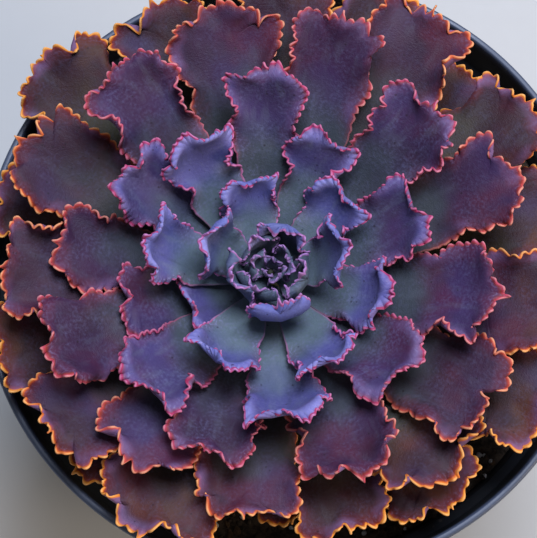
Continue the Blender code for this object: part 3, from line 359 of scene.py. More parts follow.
class Blade:
    """One leaf's surface: a patch on a cone of its own round the stem, ruffled towards its outer end."""

    def __init__(self, order, lean, reach, width):
        self.order = order
        self.width = float(width)
        self.angle = math.radians(SPIRAL_START + SPIRAL_TURN * order + lean)
        self.age = order / OLDEST_ORDER
        self.set_middle(reach)
        self.set_outline()
        self.set_ruffles(random.Random(RUFFLE_SEED + order), random.Random(CRIMP_SEED + order))

    def set_middle(self, reach):
        """Sample the middle line as (radius, height) against the distance from the root."""
        r0, z0, slope0, r1, z1, slope1 = middle_line(self.order)
        slope1 = math.radians(TURNED_IN.get(self.order, slope1))
        ends = [math.radians(slope0), slope1]
        if self.order <= CLOSED_ORDER:
            handle = TURNED_IN_HANDLE if self.order in TURNED_IN else LINE_HANDLE
            line = arc((r0, z0), (reach - CLOSED_BACK * self.width, z1), *ends, handle)
        elif reach > r1 and self.order > UPRIGHT_ORDER:
            line = arc((r0, z0), (r1, z1), *ends)
            step = (reach - r1) / EXTRA_STEPS
            for i in range(EXTRA_STEPS):
                slope = slope1 * (1 - LEVEL_OFF * (i + 1) / EXTRA_STEPS)
                line = np.vstack((line, line[-1] + step * np.array((1, math.tan(slope)))))
        else:
            line = arc((r0, z0), (r1, z1), *ends)
            level = float(np.interp(reach, line[:, 0], line[:, 1]))
            rise = INNER_SHORT_RISE if self.order <= UPRIGHT_ORDER else OUTER_SHORT_RISE
            line = arc((r0, z0), (reach, level + rise * (z1 - level)), *ends)
        self.line = line
        self.line_at = lengths_along(line)
        self.root_radius = r0
        self.length = float(self.line_at[-1])
        lip = HEART_LIP + YOUNG_LIP_MORE * ripe(self.order, YOUNG_LIP_ORDERS)
        lip += OUTER_LIP_MORE * ripe(self.order, OUTER_LIP_ORDERS)
        self.lip = slope1 * (TURNED_IN_LIP if self.order in TURNED_IN else lip)

    def on_middle(self, along):
        """Radius, height and unit direction of the middle line at distances from the root."""
        radius, level, run, rise = followed(along, self.line_at, self.line)
        past = along - np.clip(along, 0.0, self.length)
        return radius + past * run, level + past * rise, run, rise

    def set_outline(self):
        """Half of the outline as (distance along, distance across): a straight side, then a blunt end."""
        width = self.width
        shoulder = self.length - SHOULDER_BACK * width
        blunt = LARGEST_END_BACK * ripe(self.order, BLUNT_ORDERS)
        root = np.array((0, min(ROOT_HALF_SHARE * self.root_radius, ROOT_HALF_WIDTH * width)))
        side_end = np.array((shoulder - SIDE_END_BACK * width, SIDE_END_HALF_WIDTH * width))
        corner = np.array((self.length - CORNER_BACK * width, CORNER_HALF_WIDTH * width))
        end = np.array((self.length - blunt * width, END_HALF_WIDTH * width))
        tip = np.array((self.length, 0))
        u = np.arange(SIDE_SAMPLES)[:, None] / SIDE_SAMPLES
        side = root + (side_end - root) * np.hstack((u, u ** SIDE_FLARE))
        outer = curve(np.arange(SIDE_SAMPLES + 1)[:, None] / SIDE_SAMPLES, side_end, corner, end, tip)
        self.outline = np.vstack((side, outer))
        self.outline_at = lengths_along(self.outline)
        self.edge = float(self.outline_at[-1])
        half = slice(0, SIDE_SAMPLES + 1)
        self.shoulder = self.edge - float(np.interp(shoulder, self.outline[half, 0], self.outline_at[half]))

    def set_ruffles(self, rng, fine):
        """Choose the waves of the margin, the way each shoulder curls and the fine crimps."""
        self.wave = WAVE_LENGTH + WAVE_LENGTH_SHARE * self.width
        self.wave_height = WAVE_HEIGHT_SHARE * self.width
        self.wave_phase = rng.choice((0.0, math.pi)) + rng.uniform(-WAVE_SHIFT, WAVE_SHIFT)
        waves, crimps = range(WAVE_COUNT + 1), range(CRIMP_COUNT)
        self.wave_sizes = [SMALLEST_WAVE + WAVE_SPREAD * rng.random() ** WAVE_RARITY for _ in waves]
        self.wave_warps = [rng.uniform(-LARGEST_WARP, LARGEST_WARP) for _ in waves]
        self.swell_turn = rng.uniform(0.0, math.tau)
        self.twist = rng.uniform(-LARGEST_TWIST, LARGEST_TWIST)
        self.curls = []
        for side in (1, -1):
            place = self.shoulder * rng.uniform(*CURL_PLACES)
            turn = rng.choice(CURL_WAYS) * rng.uniform(*CURL_TIGHTNESS)
            self.curls.append((side, place, turn))
        self.crimp_sizes = [fine.uniform(*CRIMP_SIZES) for _ in crimps]
        self.crimp_warps = [fine.uniform(-LARGEST_CRIMP_WARP, LARGEST_CRIMP_WARP) for _ in crimps]
        self.crimp_phase = fine.uniform(0, math.tau)

    def on_outline(self, from_tip):
        """Points of the outline at distances along the edge from the tip, and their outward normals."""
        x, y, dx, dy = followed(self.edge - from_tip, self.outline_at, self.outline)
        return x, y, -dy, dx

    def waves_left(self, from_tip):
        """Share of the waves' height that is left at distances along the margin from the tip."""
        return 1 - smooth((from_tip - self.shoulder - WAVE_PAST) / (WAVE_FADE * self.length))

    def surface(self, edge, share, leaf):
        """Middle surface of the blade. edge is the signed distance along the margin from the tip, and share
        goes from 0 on the midrib to 1 on the margin. Also gives what the leaf's material reads there."""
        side = np.where(edge >= 0, 1.0, -1.0)
        from_tip = np.abs(edge)
        x, y, normal_x, normal_y = self.on_outline(from_tip)
        left = self.waves_left(from_tip)
        rib = x * (1 - RIB_BACK * (x / self.length) ** 2)
        depth = (1 - share) * np.hypot(x - rib, y)
        at, out = rib + (x - rib) * share, y * share
        swell = np.sin(math.tau * edge / (SWELL_LENGTH_SHARE * self.width) + self.swell_turn)
        lift, inward = self.ruffle(edge, share, depth, left, swell)
        lift, inward = self.notch(edge, share, depth, lift, inward)
        lift = self.hollow(from_tip, share, depth, side, x / self.length, at, out, lift)
        level_off = 1 - smooth((from_tip / self.shoulder - LIP_END) / LIP_FADE)
        roll = self.lip * left * level_off * (1 + LIP_SWELL * swell)
        up, back = rolled(depth, LIP_DEPTH + LIP_DEPTH_SHARE * self.width, roll)
        lift = lift - up
        inward = inward + back
        covered = self.covered(side, at, out)
        for curl_side, place, turn in self.curls:
            near = fade(from_tip - place, CURL_SPREAD_SHARE * self.width, 2) * (side == curl_side)
            if turn > 0:
                near = near * (1 - covered)
            curled = CURL_DEPTH_SHARE * self.width * near ** 0.5
            up, back = rolled(depth, curled, leaf.curl * CURL_TURN * abs(turn) * near)
            lift = lift + math.copysign(1.0, turn) * up
            inward = inward + back
        lift = self.within_room(lift, side, at, covered)
        upright, outward, crest = self.crimps(edge, depth, left, covered, leaf)
        lift = lift + upright
        inward = inward - outward
        along = at - inward * normal_x
        along = along + SPIKE_LENGTH * fade(from_tip, SPIKE_HALF_WIDTH, 2) * fade(depth, SPIKE_DEPTH)
        across = np.maximum(out - inward * normal_y, 0.0)
        facts = {"along": at / self.length, "depth": depth, "waved": left, "crest": crest, "across": side * out}
        facts = {name: np.broadcast_to(values, depth.shape) for name, values in facts.items()}
        return self.round_the_stem(along, across, side, lift), facts

    def round_the_stem(self, along, across, side, lift):
        """Points of the blade in space, from distances along and across it and the rise over its cone."""
        radius, level, run, rise = self.on_middle(np.maximum(along, 0.0))
        limit = self.widest(along / self.length) * np.maximum(radius, 0.5)
        across = across * limit / (across ** WIDTH_POWER + limit ** WIDTH_POWER) ** (1 / WIDTH_POWER)
        angle = self.angle + side * across / np.maximum(radius, 1.0)
        radius = radius - lift * rise
        level = level + lift * run
        return np.stack((STEM_X + radius * np.cos(angle), STEM_Y + radius * np.sin(angle), level), axis=-1)

    def ruffle(self, edge, share, depth, left, swell):
        """How far the margin's waves and swells lift the blade and draw it in."""
        width = self.width
        place = WAVE_COUNT / 2 + 2 * edge / self.wave
        size, warp = (np.interp(place, range(WAVE_COUNT + 1), values)
                      for values in (self.wave_sizes, self.wave_warps))
        height = self.wave_height * left * size
        turn = math.tau * (edge / self.wave + warp) + self.wave_phase
        older = ripe(self.order, WAVE_ORDERS)
        close = fade(depth, WAVE_DEPTH + WAVE_DEPTH_SHARE * width, WAVE_FALL) * share
        lift = (WAVE_LIFT - WAVE_LIFT_LESS * older) * height * np.cos(turn) * close
        swell_lift = (SWELL_LIFT_SHARE - SWELL_LIFT_LESS * older) * width * swell * left
        lift = lift + swell_lift * fade(depth, SWELL_DEPTH_SHARE * width, SWELL_FALL) * share
        dent = (0.5 + 0.5 * np.sin(turn + WAVE_LEAD)) ** WAVE_ROUNDNESS
        inward = WAVE_INWARD * height * dent * fade(depth, DENT_DEPTH_SHARE * width) * share
        bay = SWELL_INWARD_SHARE * width * (0.5 + 0.5 * swell) ** BAY_ROUNDNESS * left
        inward = inward + bay * fade(depth, SWELL_DEPTH_SHARE * width) * share
        return lift, inward

    def notch(self, edge, share, depth, lift, inward):
        """Add the deep notches, and the rise of the margin beside them."""
        for place, deep in NOTCHES.get(self.order, ()):
            apart = np.abs(edge - place)
            cut = deep * fade(apart, NOTCH_HALF_WIDTH, NOTCH_STEEPNESS)
            inward = inward + cut * fade(depth, NOTCH_REACH * deep) * share
            beside = fade(apart - NOTCH_SIDES * NOTCH_HALF_WIDTH, NOTCH_SIDE_WIDTH, 2)
            lift = lift + NOTCH_SIDE_LIFT * beside * fade(depth, NOTCH_SIDE_DEPTH, NOTCH_SIDE_FALL) * share
        return lift, inward

    def hollow(self, from_tip, share, depth, side, along_share, at, out, lift):
        """Add the blade's hollow, its twist and its broad low swellings."""
        cup = (CUP_SHARE - CUP_LESS * ripe(self.order, CUP_ORDERS)) * self.width
        cup = cup * smooth((along_share - CUP_START) / CUP_RUN)
        inner = np.minimum(from_tip / self.shoulder, 1.0) ** CUP_RISE
        lift = lift + cup * (TIP_CUP + (1 - TIP_CUP) * inner) * share ** 2
        lift = lift + self.twist * side * out * smooth((along_share - TWIST_START) / TWIST_RUN)
        far = at / (ROLL_LENGTH_SHARE * self.width)
        wide = side * out / (ROLL_WIDTH_SHARE * self.width)
        rolling = np.sin(ALONG_ROLL[0] * far + ALONG_ROLL[1] * wide + self.swell_turn)
        rolling = rolling * np.sin(ACROSS_ROLL[1] * wide - ACROSS_ROLL[0] * far + self.wave_phase)
        rolling = rolling * smooth((along_share - ROLL_START) / ROLL_RUN) * np.minimum(depth / ROLL_EDGE, 1)
        return lift + ROLL_HEIGHT_SHARE * self.width * rolling

    def crimps(self, edge, depth, left, covered, leaf):
        """How far the fine crimps lift the margin and push it out, and their crests from 0 to 1."""
        grown = ripe(self.order, CRIMP_LENGTH_ORDERS)
        place = edge / (leaf.crimp_length / MM * (YOUNG_CRIMP_LENGTH + CRIMP_LENGTH_MORE * grown))
        size, warp = (np.interp(place + CRIMP_COUNT / 2, range(CRIMP_COUNT), values)
                      for values in (self.crimp_sizes, self.crimp_warps))
        turn = math.tau * (place + warp) + self.crimp_phase
        size = CRIMP_SHARE * size * np.minimum(1.0, left * CRIMP_GAIN + CRIMP_REST)
        out = size * (1 - 2 * (0.5 - 0.5 * np.sin(turn)) ** CRIMP_ROUNDNESS)
        height = YOUNG_CRIMP_HEIGHT + CRIMP_HEIGHT_MORE * ripe(self.order, CRIMP_HEIGHT_ORDERS)
        height *= leaf.crimp_height / MM
        close = fade(depth, CRIMP_RISE_DEPTH, CRIMP_RISE_FALL) * (1 - COVERED_CRIMP_LESS * covered)
        upright = CRIMP_RISE * height * size * np.sin(turn + CRIMP_LEAD) * close
        return upright, height * out * fade(depth, CRIMP_OUT_DEPTH, CRIMP_OUT_FALL), 0.5 + 0.5 * out

    def half_span(self):
        """Half of the angle that the blade takes round the stem at its shoulders."""
        return min(self.width / (SPAN_SHARE * self.line[-1, 0]), float(self.widest(1.0)))

    def widest(self, along_share):
        """Largest half angle round the stem that the blade may take at a share of its length."""
        full = WIDEST + BUD_WIDER * (1 - ripe(self.order, BUD_ORDERS))
        full += HEART_WIDER * (1 - ripe(self.order, HEART_ORDERS))
        return ROOT_WIDEST + (full - ROOT_WIDEST) * smooth(along_share / WIDENING_SHARE)

    def overlaps(self, other, side):
        """Whether the other leaf lies over or under this side of the blade, seen from above."""
        apart = (other.angle - self.angle + math.pi) % math.tau - math.pi
        low, high = sorted((0.0, side * self.half_span()))
        return low < apart + other.half_span() and apart - other.half_span() < high

    def set_room(self, blades):
        """How far each side of the blade may rise or drop before it meets the next leaf above or below."""
        self.above = [o for o in blades if self.order - COVERING_ORDERS < o.order < self.order]
        self.room = {}
        for side in (1, -1):
            for way in (1, -1):
                near = [o for o in blades if (self.order - o.order) * way > 0 and self.overlaps(o, side)]
                near = sorted(near, key=lambda o: abs(o.order - self.order))[:NEIGHBOURS]
                apart = np.full(len(self.line), 2 * FREE_ROOM)
                for other in near:
                    gaps = np.linalg.norm(self.line[:, None] - other.line[None], axis=2)
                    apart = np.minimum(apart, gaps.min(axis=1))
                self.room[side, way] = np.maximum(0.5 * apart - BODY_ROOM, LEAST_ROOM)

    def half_angle(self, radius):
        """Half of the angle that the blade takes round the stem at distances from the stem's axis."""
        radii = np.maximum.accumulate(self.line[:, 0])
        along = np.interp(radius, radii, self.line_at)
        across = np.interp(along, self.outline[:, 0], self.outline[:, 1])
        return np.where(radius < radii[-1], across / np.maximum(radius, 1.0), 0.0)

    def covered(self, side, along, across):
        """How far points of the blade lie under younger leaves, from 0 to 1."""
        radius = np.maximum(np.interp(along, self.line_at, self.line[:, 0]), 1.0)
        angle = self.angle + side * np.minimum(across / radius, self.widest(along / self.length))
        most = np.zeros(np.broadcast(radius, angle).shape)
        for other in self.above:
            apart = np.abs((other.angle - angle + math.pi) % math.tau - math.pi)
            past = (other.half_angle(radius) - apart) * radius
            past = np.minimum(past, other.line[-1, 0] - radius)
            most = np.maximum(most, smooth((past + COVER_EDGE) / COVER_FADE))
        return most

    def within_room(self, lift, side, along, covered):
        """Ease a lift so that it stays inside the room that the neighbours leave."""
        for (one_side, way), room in self.room.items():
            room = np.interp(along, self.line_at, room)
            if way > 0:
                room = room + (FREE_ROOM - room) * (1 - covered) ** 2
            eased = lift / (1 + np.abs(lift / room) ** ROOM_POWER) ** (1 / ROOM_POWER)
            lift = np.where((side == one_side) & (lift * way > 0), eased, lift)
        return lift

    def thickness(self, edge, share, margin):
        """Thickness of the blade, thin at the margin and the root and fleshy between them."""
        x = self.on_outline(np.abs(edge))[0]
        fleshy = FLESH + FLESH_SHARE * self.width
        body = ROOT_THICKNESS + (fleshy - ROOT_THICKNESS) * smooth((x / self.length - FLESH_START) / FLESH_RUN)
        return margin + (body - margin) * (1 - share ** 2)

    def up(self):
        """Direction that the blade's inner face points in at its outer end."""
        _, _, run, rise = self.on_middle(np.array([self.length * UP_MEASURED]))
        return np.array((-rise[0] * math.cos(self.angle), -rise[0] * math.sin(self.angle), run[0]))


def rib_places(blade):
    """Distances from the tip along the margin where ribs end: close along the crimps, wider down the side."""
    places = [0.0]
    while places[-1] < blade.edge:
        left = float(blade.waves_left(places[-1]))
        at_spike = math.exp(-(places[-1] / SPIKE_RIBS) ** 2)
        places.append(places[-1] + RIB_STEP - SPIKE_RIB_LESS * at_spike + SIDE_RIB_MORE * (1 - left))
    places = np.array(places)
    return places * blade.edge / places[-1]


def skin_normals(blade, middle):
    """Unit normals of the middle surface on the side of its inner face, alike on both sides of the midrib."""
    normals = np.cross(np.gradient(middle, axis=0), np.gradient(middle, np.array(UPPER_RINGS), axis=1))
    normals[:, 0] = normals[:, 1]
    normals = unit(normals)
    normals[:, 0] = unit(normals[:, 0] + normals[::-1, 0])
    inner = normals[:, 1:6].sum(axis=(0, 1)) @ blade.up() > 0
    return normals * (1.0 if inner else -1.0)


def blade_mesh(name, blade, leaf):
    """A closed blade: an upper and a lower skin round the middle surface, joined by a rounded margin."""
    half = rib_places(blade)
    edges = np.concatenate((-half[:0:-1], half))[:, None]
    count = len(edges)
    tip = count // 2
    rings = np.array(UPPER_RINGS)[None]
    margin = leaf.margin_thickness / MM * (YOUNG_MARGIN + MARGIN_MORE * ripe(blade.order, MARGIN_ORDERS))
    middle, facts = blade.surface(edges, rings, leaf)
    normals = skin_normals(blade, middle)
    half_body = 0.5 * blade.thickness(edges, rings, margin)[..., None]
    outward = unit(middle[:, -1] - middle[:, -2])
    lip = margin * 0.5 * (1 - SPIKE_THINNER * fade(np.abs(edges), SPIKE_THIN_WIDTH, 2))
    rim = [middle[:, -1] + out * lip * outward + up * lip * normals[:, -1]
           for out, up in ((MARGIN_OUT, MARGIN_UP), (1.0, 0.0), (MARGIN_OUT, -MARGIN_UP))]
    lower = [UPPER_RINGS.index(share) for share in reversed(LOWER_RINGS)]
    skins = [middle + normals * half_body, np.stack(rim, axis=1), (middle - normals * half_body)[:, lower]]
    points = np.concatenate(skins, axis=1)
    layers = points.shape[1]
    on_rim = slice(len(UPPER_RINGS), len(UPPER_RINGS) + len(rim))
    source = [*range(len(UPPER_RINGS)), *[-1] * len(rim), *lower]
    along, depth, waved, across = (facts[key][:, source] for key in ("along", "depth", "waved", "across"))
    depth[:, on_rim] = 0.0
    below = np.broadcast_to(np.arange(layers) >= on_rim.stop, depth.shape)
    shape = np.stack((along, depth, waved, below), axis=-1)
    uv = np.stack((across + PATTERN_STEP * blade.order, along * blade.length), axis=-1) * PATTERN_SCALE

    index = np.arange(count * layers).reshape(count, layers)
    index[:tip, (0, -1)] = index[:tip:-1, (0, -1)]
    faces = np.stack((index[:-1, :-1], index[1:, :-1], index[1:, 1:], index[:-1, 1:]), axis=-1)
    faces = [list(dict.fromkeys(face)) for face in faces.reshape(-1, 4).tolist()]
    root = index[0].tolist() + index[-1, -2:0:-1].tolist()
    mesh = bpy.data.meshes.new(name)
    mesh.from_pydata((points.reshape(-1, 3) * MM).tolist(), [], [f for f in faces if len(f) > 2] + [root])
    crest = np.repeat(facts["crest"][:, -1:], layers, axis=1)
    for title, kind, field, values in (("leaf_shape", "FLOAT_COLOR", "color", shape),
                                       ("leaf_crest", "FLOAT", "value", crest),
                                       ("leaf_age", "FLOAT", "value", np.full(count * layers, blade.age))):
        mesh.attributes.new(title, kind, "POINT").data.foreach_set(field, values.reshape(-1))
    corners = np.zeros(len(mesh.loops), dtype=np.int64)
    mesh.loops.foreach_get("vertex_index", corners)
    mesh.uv_layers.new(name="along the leaf").uv.foreach_set("vector", uv.reshape(-1, 2)[corners].reshape(-1))
    tidy(mesh)
    return mesh


def tidy(mesh):
    """Drop unused points, point the faces outwards and shade them round."""
    bm = bmesh.new()
    bm.from_mesh(mesh)
    bmesh.ops.delete(bm, geom=[v for v in bm.verts if not v.link_faces], context="VERTS")
    bmesh.ops.recalc_face_normals(bm, faces=bm.faces)
    bm.to_mesh(mesh)
    bm.free()
    mesh.shade_smooth()


# Node trees

class Nodes:
    """Makes and links the nodes of one tree. A value is a number, a colour or another node's socket."""

    def __init__(self, tree):
        self.tree = tree

    def add(self, kind, inputs=None, **properties):
        """A new node with these properties, and these inputs by name or number."""
        node = self.tree.nodes.new(kind)
        for key, value in properties.items():
            setattr(node, key, value)
        for key, value in (inputs or {}).items():
            self.set(node.inputs[key], value)
        return node

    def set(self, socket, value):
        if isinstance(value, bpy.types.NodeSocket):
            self.tree.links.new(value, socket)
        else:
            if hasattr(socket.default_value, "__len__") and len(socket.default_value) == 4 and len(value) == 3:
                value = (*value, 1.0)
            socket.default_value = value

    def math(self, operation, a, b):
        return self.add("ShaderNodeMath", {0: a, 1: b}, operation=operation).outputs[0]

    def plus(self, a, b):
        return self.math("ADD", a, b)

    def times(self, value, *others):
        for other in others:
            value = self.math("MULTIPLY", value, other)
        return value

    def mix(self, factor, a, b):
        return self.add("ShaderNodeMix", {0: factor, 6: a, 7: b}, data_type="RGBA").outputs[2]

    def tint(self, below, above, *masks):
        """One colour laid over another where all the masks are bright."""
        return self.mix(self.times(*masks), below, above)

    def between(self, value, low, high, to_low=0.0, to_high=1.0):
        inputs = dict(enumerate((value, low, high, to_low, to_high)))
        return self.add("ShaderNodeMapRange", inputs, interpolation_type="SMOOTHSTEP").outputs[0]

    def noise(self, vector, scale, detail, roughness):
        inputs = {"Vector": vector, "Scale": scale, "Detail": detail, "Roughness": roughness}
        return self.add("ShaderNodeTexNoise", inputs).outputs[0]

    def stretched(self, vector, scale):
        return self.add("ShaderNodeMapping", {"Vector": vector, "Scale": scale}).outputs[0]

    def height(self, vector):
        return self.add("ShaderNodeSeparateXYZ", {0: vector}).outputs[2]

    def bump(self, height, strength, distance):
        inputs = {"Height": height, "Strength": strength, "Distance": distance}
        return self.add("ShaderNodeBump", inputs).outputs[0]

    def object_place(self):
        return self.add("ShaderNodeTexCoord").outputs["Object"]

    def mottling(self, vector, patches, grain, specks, share):
        """Outputs of the shared mottling, by the scales of its three parts and the share of specks."""
        inputs = {"Vector": vector, "Patch scale": patches, "Grain scale": grain, "Speck scale": specks,
                  "Speck share": share}
        group = shared("node_groups", "mottling", mottling_group)
        return self.add("ShaderNodeGroup", inputs, node_tree=group).outputs


def shared(collection, name, make, *values):
    """The material or node group of that name, made the first time it is asked for."""
    return getattr(bpy.data, collection).get(name) or make(*values)


def mottling_group():
    """Fine mottling: patches, grain and rare specks, all from one coordinate."""
    group = bpy.data.node_groups.new("mottling", "ShaderNodeTree")
    group.interface.new_socket("Vector", in_out="INPUT", socket_type="NodeSocketVector")
    for title in ("Patch scale", "Grain scale", "Speck scale", "Speck share"):
        group.interface.new_socket(title, in_out="INPUT", socket_type="NodeSocketFloat")
    for title in ("Patches", "Grain", "Specks"):
        group.interface.new_socket(title, in_out="OUTPUT", socket_type="NodeSocketFloat")
    nodes = Nodes(group)
    given = nodes.add("NodeGroupInput").outputs
    patches = nodes.noise(given["Vector"], given["Patch scale"], 4.0, 0.6)
    grain = nodes.noise(given["Vector"], given["Grain scale"], 2.0, 0.7)
    cells = nodes.add("ShaderNodeTexVoronoi", {"Vector": given["Vector"], "Scale": given["Speck scale"]},
                      feature="F1")
    chosen = nodes.add("ShaderNodeSeparateColor", {0: cells.outputs["Color"]})
    rare = nodes.math("LESS_THAN", chosen.outputs[0], given["Speck share"])
    small = nodes.between(cells.outputs["Distance"], 0.16, 0.34, 1.0, 0.0)
    nodes.add("NodeGroupOutput", {"Patches": nodes.between(patches, 0.32, 0.68), "Grain": grain,
                                  "Specks": nodes.times(rare, small)})
    return group


def new_material(name):
    material = bpy.data.materials.new(name)
    material.use_nodes = True
    nodes = Nodes(material.node_tree)
    return material, nodes, material.node_tree.nodes["Principled BSDF"].inputs


def leaf_material(leaf):
    """Waxy blade: colour by the leaf's age and by the place on it, a bright margin and a dusty bloom."""
    material, nodes, shader = new_material("ruffled leaf")
    between, mix, tint, noise, times, plus = (nodes.between, nodes.mix, nodes.tint, nodes.noise, nodes.times,
                                              nodes.plus)
    shape = nodes.add("ShaderNodeAttribute", attribute_name="leaf_shape")
    along, depth, waved = nodes.add("ShaderNodeSeparateColor", {0: shape.outputs["Color"]}).outputs
    underside = shape.outputs["Alpha"]
    crest, age = (nodes.add("ShaderNodeAttribute", attribute_name=title).outputs["Fac"]
                  for title in ("leaf_crest", "leaf_age"))
    uv = nodes.add("ShaderNodeUVMap", uv_map="along the leaf").outputs[0]
    dust = nodes.mottling(uv, 9.0, 190.0, 70.0, 0.05)
    bloom_and_glint_noise, cloud, tone = noise(uv, 95.0, 3.0, 0.65), noise(uv, 5.0, 2.0, 0.5), noise(uv, 2.6, 2.0, 0.5)

    def aged(first, last, to_first=0.0, to_last=1.0):
        """A value that changes with the leaf's age, from 0 in the heart to 1 at the rim."""
        return between(age, first, last, to_first, to_last)

    def near_margin(full, none):
        """1 at the margin, and 0 deeper in the blade, between two depths in millimetres."""
        return between(depth, full, none, 1.0, 0.0)

    # Outer half of the blade, by age, with violet patches of painted bluish sheen, and wine, dusky and rusty
    # patches
    blade = mix(aged(0.10, 0.22), leaf.heart, leaf.inner)
    blade = mix(aged(0.22, 0.52), blade, leaf.middle)
    blade = mix(aged(0.48, 0.86), blade, leaf.outer)
    # painted sheen: violet patches laid at random over the blade in place of a bluish sheen
    blade = tint(blade, mix(0.5, blade, (0.085, 0.070, 0.240)), between(tone, 0.50, 0.70, 0.0, 0.55))
    blade = tint(blade, (0.110, 0.014, 0.030), between(noise(uv, 3.6, 3.0, 0.6), 0.46, 0.66),
                 aged(0.26, 0.50, 0.0, 0.60))
    blade = tint(blade, (0.026, 0.009, 0.018), between(tone, 0.34, 0.52, 1.0, 0.0), aged(0.25, 0.45, 0.0, 0.60),
                 between(depth, 2.5, 8.0))
    blade = tint(blade, (0.150, 0.052, 0.014), between(noise(uv, 4.4, 2.0, 0.5), 0.50, 0.66),
                 aged(0.60, 0.82, 0.0, 0.50))

    # Its lower half, which comes in along a wandering line
    base = mix(aged(0.24, 0.46), leaf.root, (0.058, 0.068, 0.080))
    base = mix(aged(0.52, 0.86, 0.0, 0.85), base, leaf.bronze)
    reach = aged(0.1, 0.9, 0.74, 0.86)
    wander = plus(along, times(nodes.math("SUBTRACT", cloud, 0.5), 0.5))
    tissue = mix(between(wander, nodes.math("SUBTRACT", reach, 0.30), reach), base, blade)

    # Painted blue sky reflection on the lips of the young leaves, painted white-blue glints along the margin, a
    # red blush and an orange band along the margin, and painted lilac highlights on the old leaves' margins
    # painted reflection: the pale blue of the sky on the upturned lips of the young leaves
    tissue = tint(tissue, mix(dust["Patches"], (0.180, 0.200, 0.56), (0.42, 0.46, 1.0)), near_margin(1.0, 6.0),
                  between(along, 0.70, 0.90), aged(0.26, 0.50, 0.90, 0.0), aged(0.10, 0.17, 0.15, 1.0))
    # painted highlight: white-blue glints flecked along the waved margins, strongest on the young leaves
    tissue = tint(tissue, (0.50, 0.50, 0.86), between(bloom_and_glint_noise, 0.50, 0.66, 0.0, 0.55), near_margin(0.6, 4.5),
                  aged(0.30, 0.60, 1.0, 0.35), waved)
    red = mix(aged(0.30, 0.75), (0.150, 0.028, 0.085), (0.185, 0.020, 0.018))
    tissue = tint(tissue, red, near_margin(0.6, plus(3.5, times(dust["Patches"], 7.0))), waved,
                  aged(0.1, 0.6, 0.25, 0.48))
    tissue = tint(tissue, (0.400, 0.050, 0.012), near_margin(0.4, plus(1.0, times(cloud, 2.2))), waved,
                  aged(0.22, 0.55, 0.0, 0.85))
    # painted highlight: lilac streaks where the waved margins of the older leaves face the light
    tissue = tint(tissue, (0.30, 0.20, 0.42), near_margin(1.6, 7.0), between(cloud, 0.50, 0.66),
                  aged(0.30, 0.45, 0.0, 0.42), waved)

    # Underside, in its own colour, made brighter on the older leaves as a painted highlight on their curled
    # flaps
    back = mix(aged(0.11, 0.15), (0.080, 0.110, 0.135), (0.150, 0.165, 0.460))
    tissue = tint(tissue, mix(aged(0.16, 0.40), back, (0.230, 0.120, 0.240)), underside, 0.78)

    # Veins, bloom, grain and specks
    veins = noise(nodes.stretched(uv, (3.0, 1.0, 1.0)), 8.0, 3.0, 0.55)
    veined = times(between(depth, 2.0, 8.0), aged(0.22, 0.60, 0.30, 0.08))
    tissue = tint(tissue, (0.19, 0.22, 0.27), between(veins, 0.50, 0.70), veined)
    tissue = tint(tissue, (0.030, 0.040, 0.034), between(veins, 0.30, 0.48, 1.0, 0.0), veined)
    tissue = tint(tissue, (0.26, 0.27, 0.50), between(bloom_and_glint_noise, 0.36, 0.84), dust["Patches"],
                  aged(0.2, 0.7, 0.55, 0.16))
    tissue = tint(tissue, mix(0.62, tissue, (0.02, 0.012, 0.028)), between(dust["Grain"], 0.3, 0.7, 0.0, 0.24))
    tissue = tint(tissue, (0.022, 0.012, 0.016), dust["Specks"], 0.55)

    # Coloured line of the margin, with a painted highlight on its crests
    warm = between(plus(age, times(cloud, 0.12)), 0.42, 0.86)
    line = mix(warm, mix(aged(0.08, 0.22), (0.33, 0.16, 0.36), (0.43, 0.032, 0.12)), (0.70, 0.100, 0.020))
    line = mix(aged(0.60, 0.90), line, (0.82, 0.26, 0.022))
    # painted highlight: the pale tone where light catches the crests of the margin's line
    pale = mix(warm, mix(aged(0.10, 0.40), (0.52, 0.27, 0.60), (0.62, 0.17, 0.30)), (1.0, 0.47, 0.13))
    line = tint(line, pale, near_margin(0.0, 0.45), crest)
    width = plus(0.20, times(waved, aged(0.25, 0.75, 0.46, 0.44)))
    colour = tint(tissue, line, near_margin(times(width, 0.55), times(width, 1.5)),
                  plus(0.30, times(waved, 0.70)), between(along, 0.10, 0.45, 0.15, 1.0),
                  aged(0.0, 0.10, 0.60, 1.0))
    nodes.set(shader["Base Color"], colour)

    rough = plus(plus(0.40, times(dust["Patches"], 0.16)), times(dust["Grain"], 0.08))
    nodes.set(shader["Roughness"], rough)
    relief = plus(times(bloom_and_glint_noise, 0.8), times(dust["Grain"], 0.5))
    nodes.set(shader["Normal"], nodes.bump(relief, 0.42, 0.0004))
    shader["Specular IOR Level"].default_value = 0.16
    shader["Sheen Weight"].default_value = 0.06
    shader["Sheen Roughness"].default_value = 0.45
    shader["Sheen Tint"].default_value = (0.55, 0.62, 1.0, 1.0)
    return material


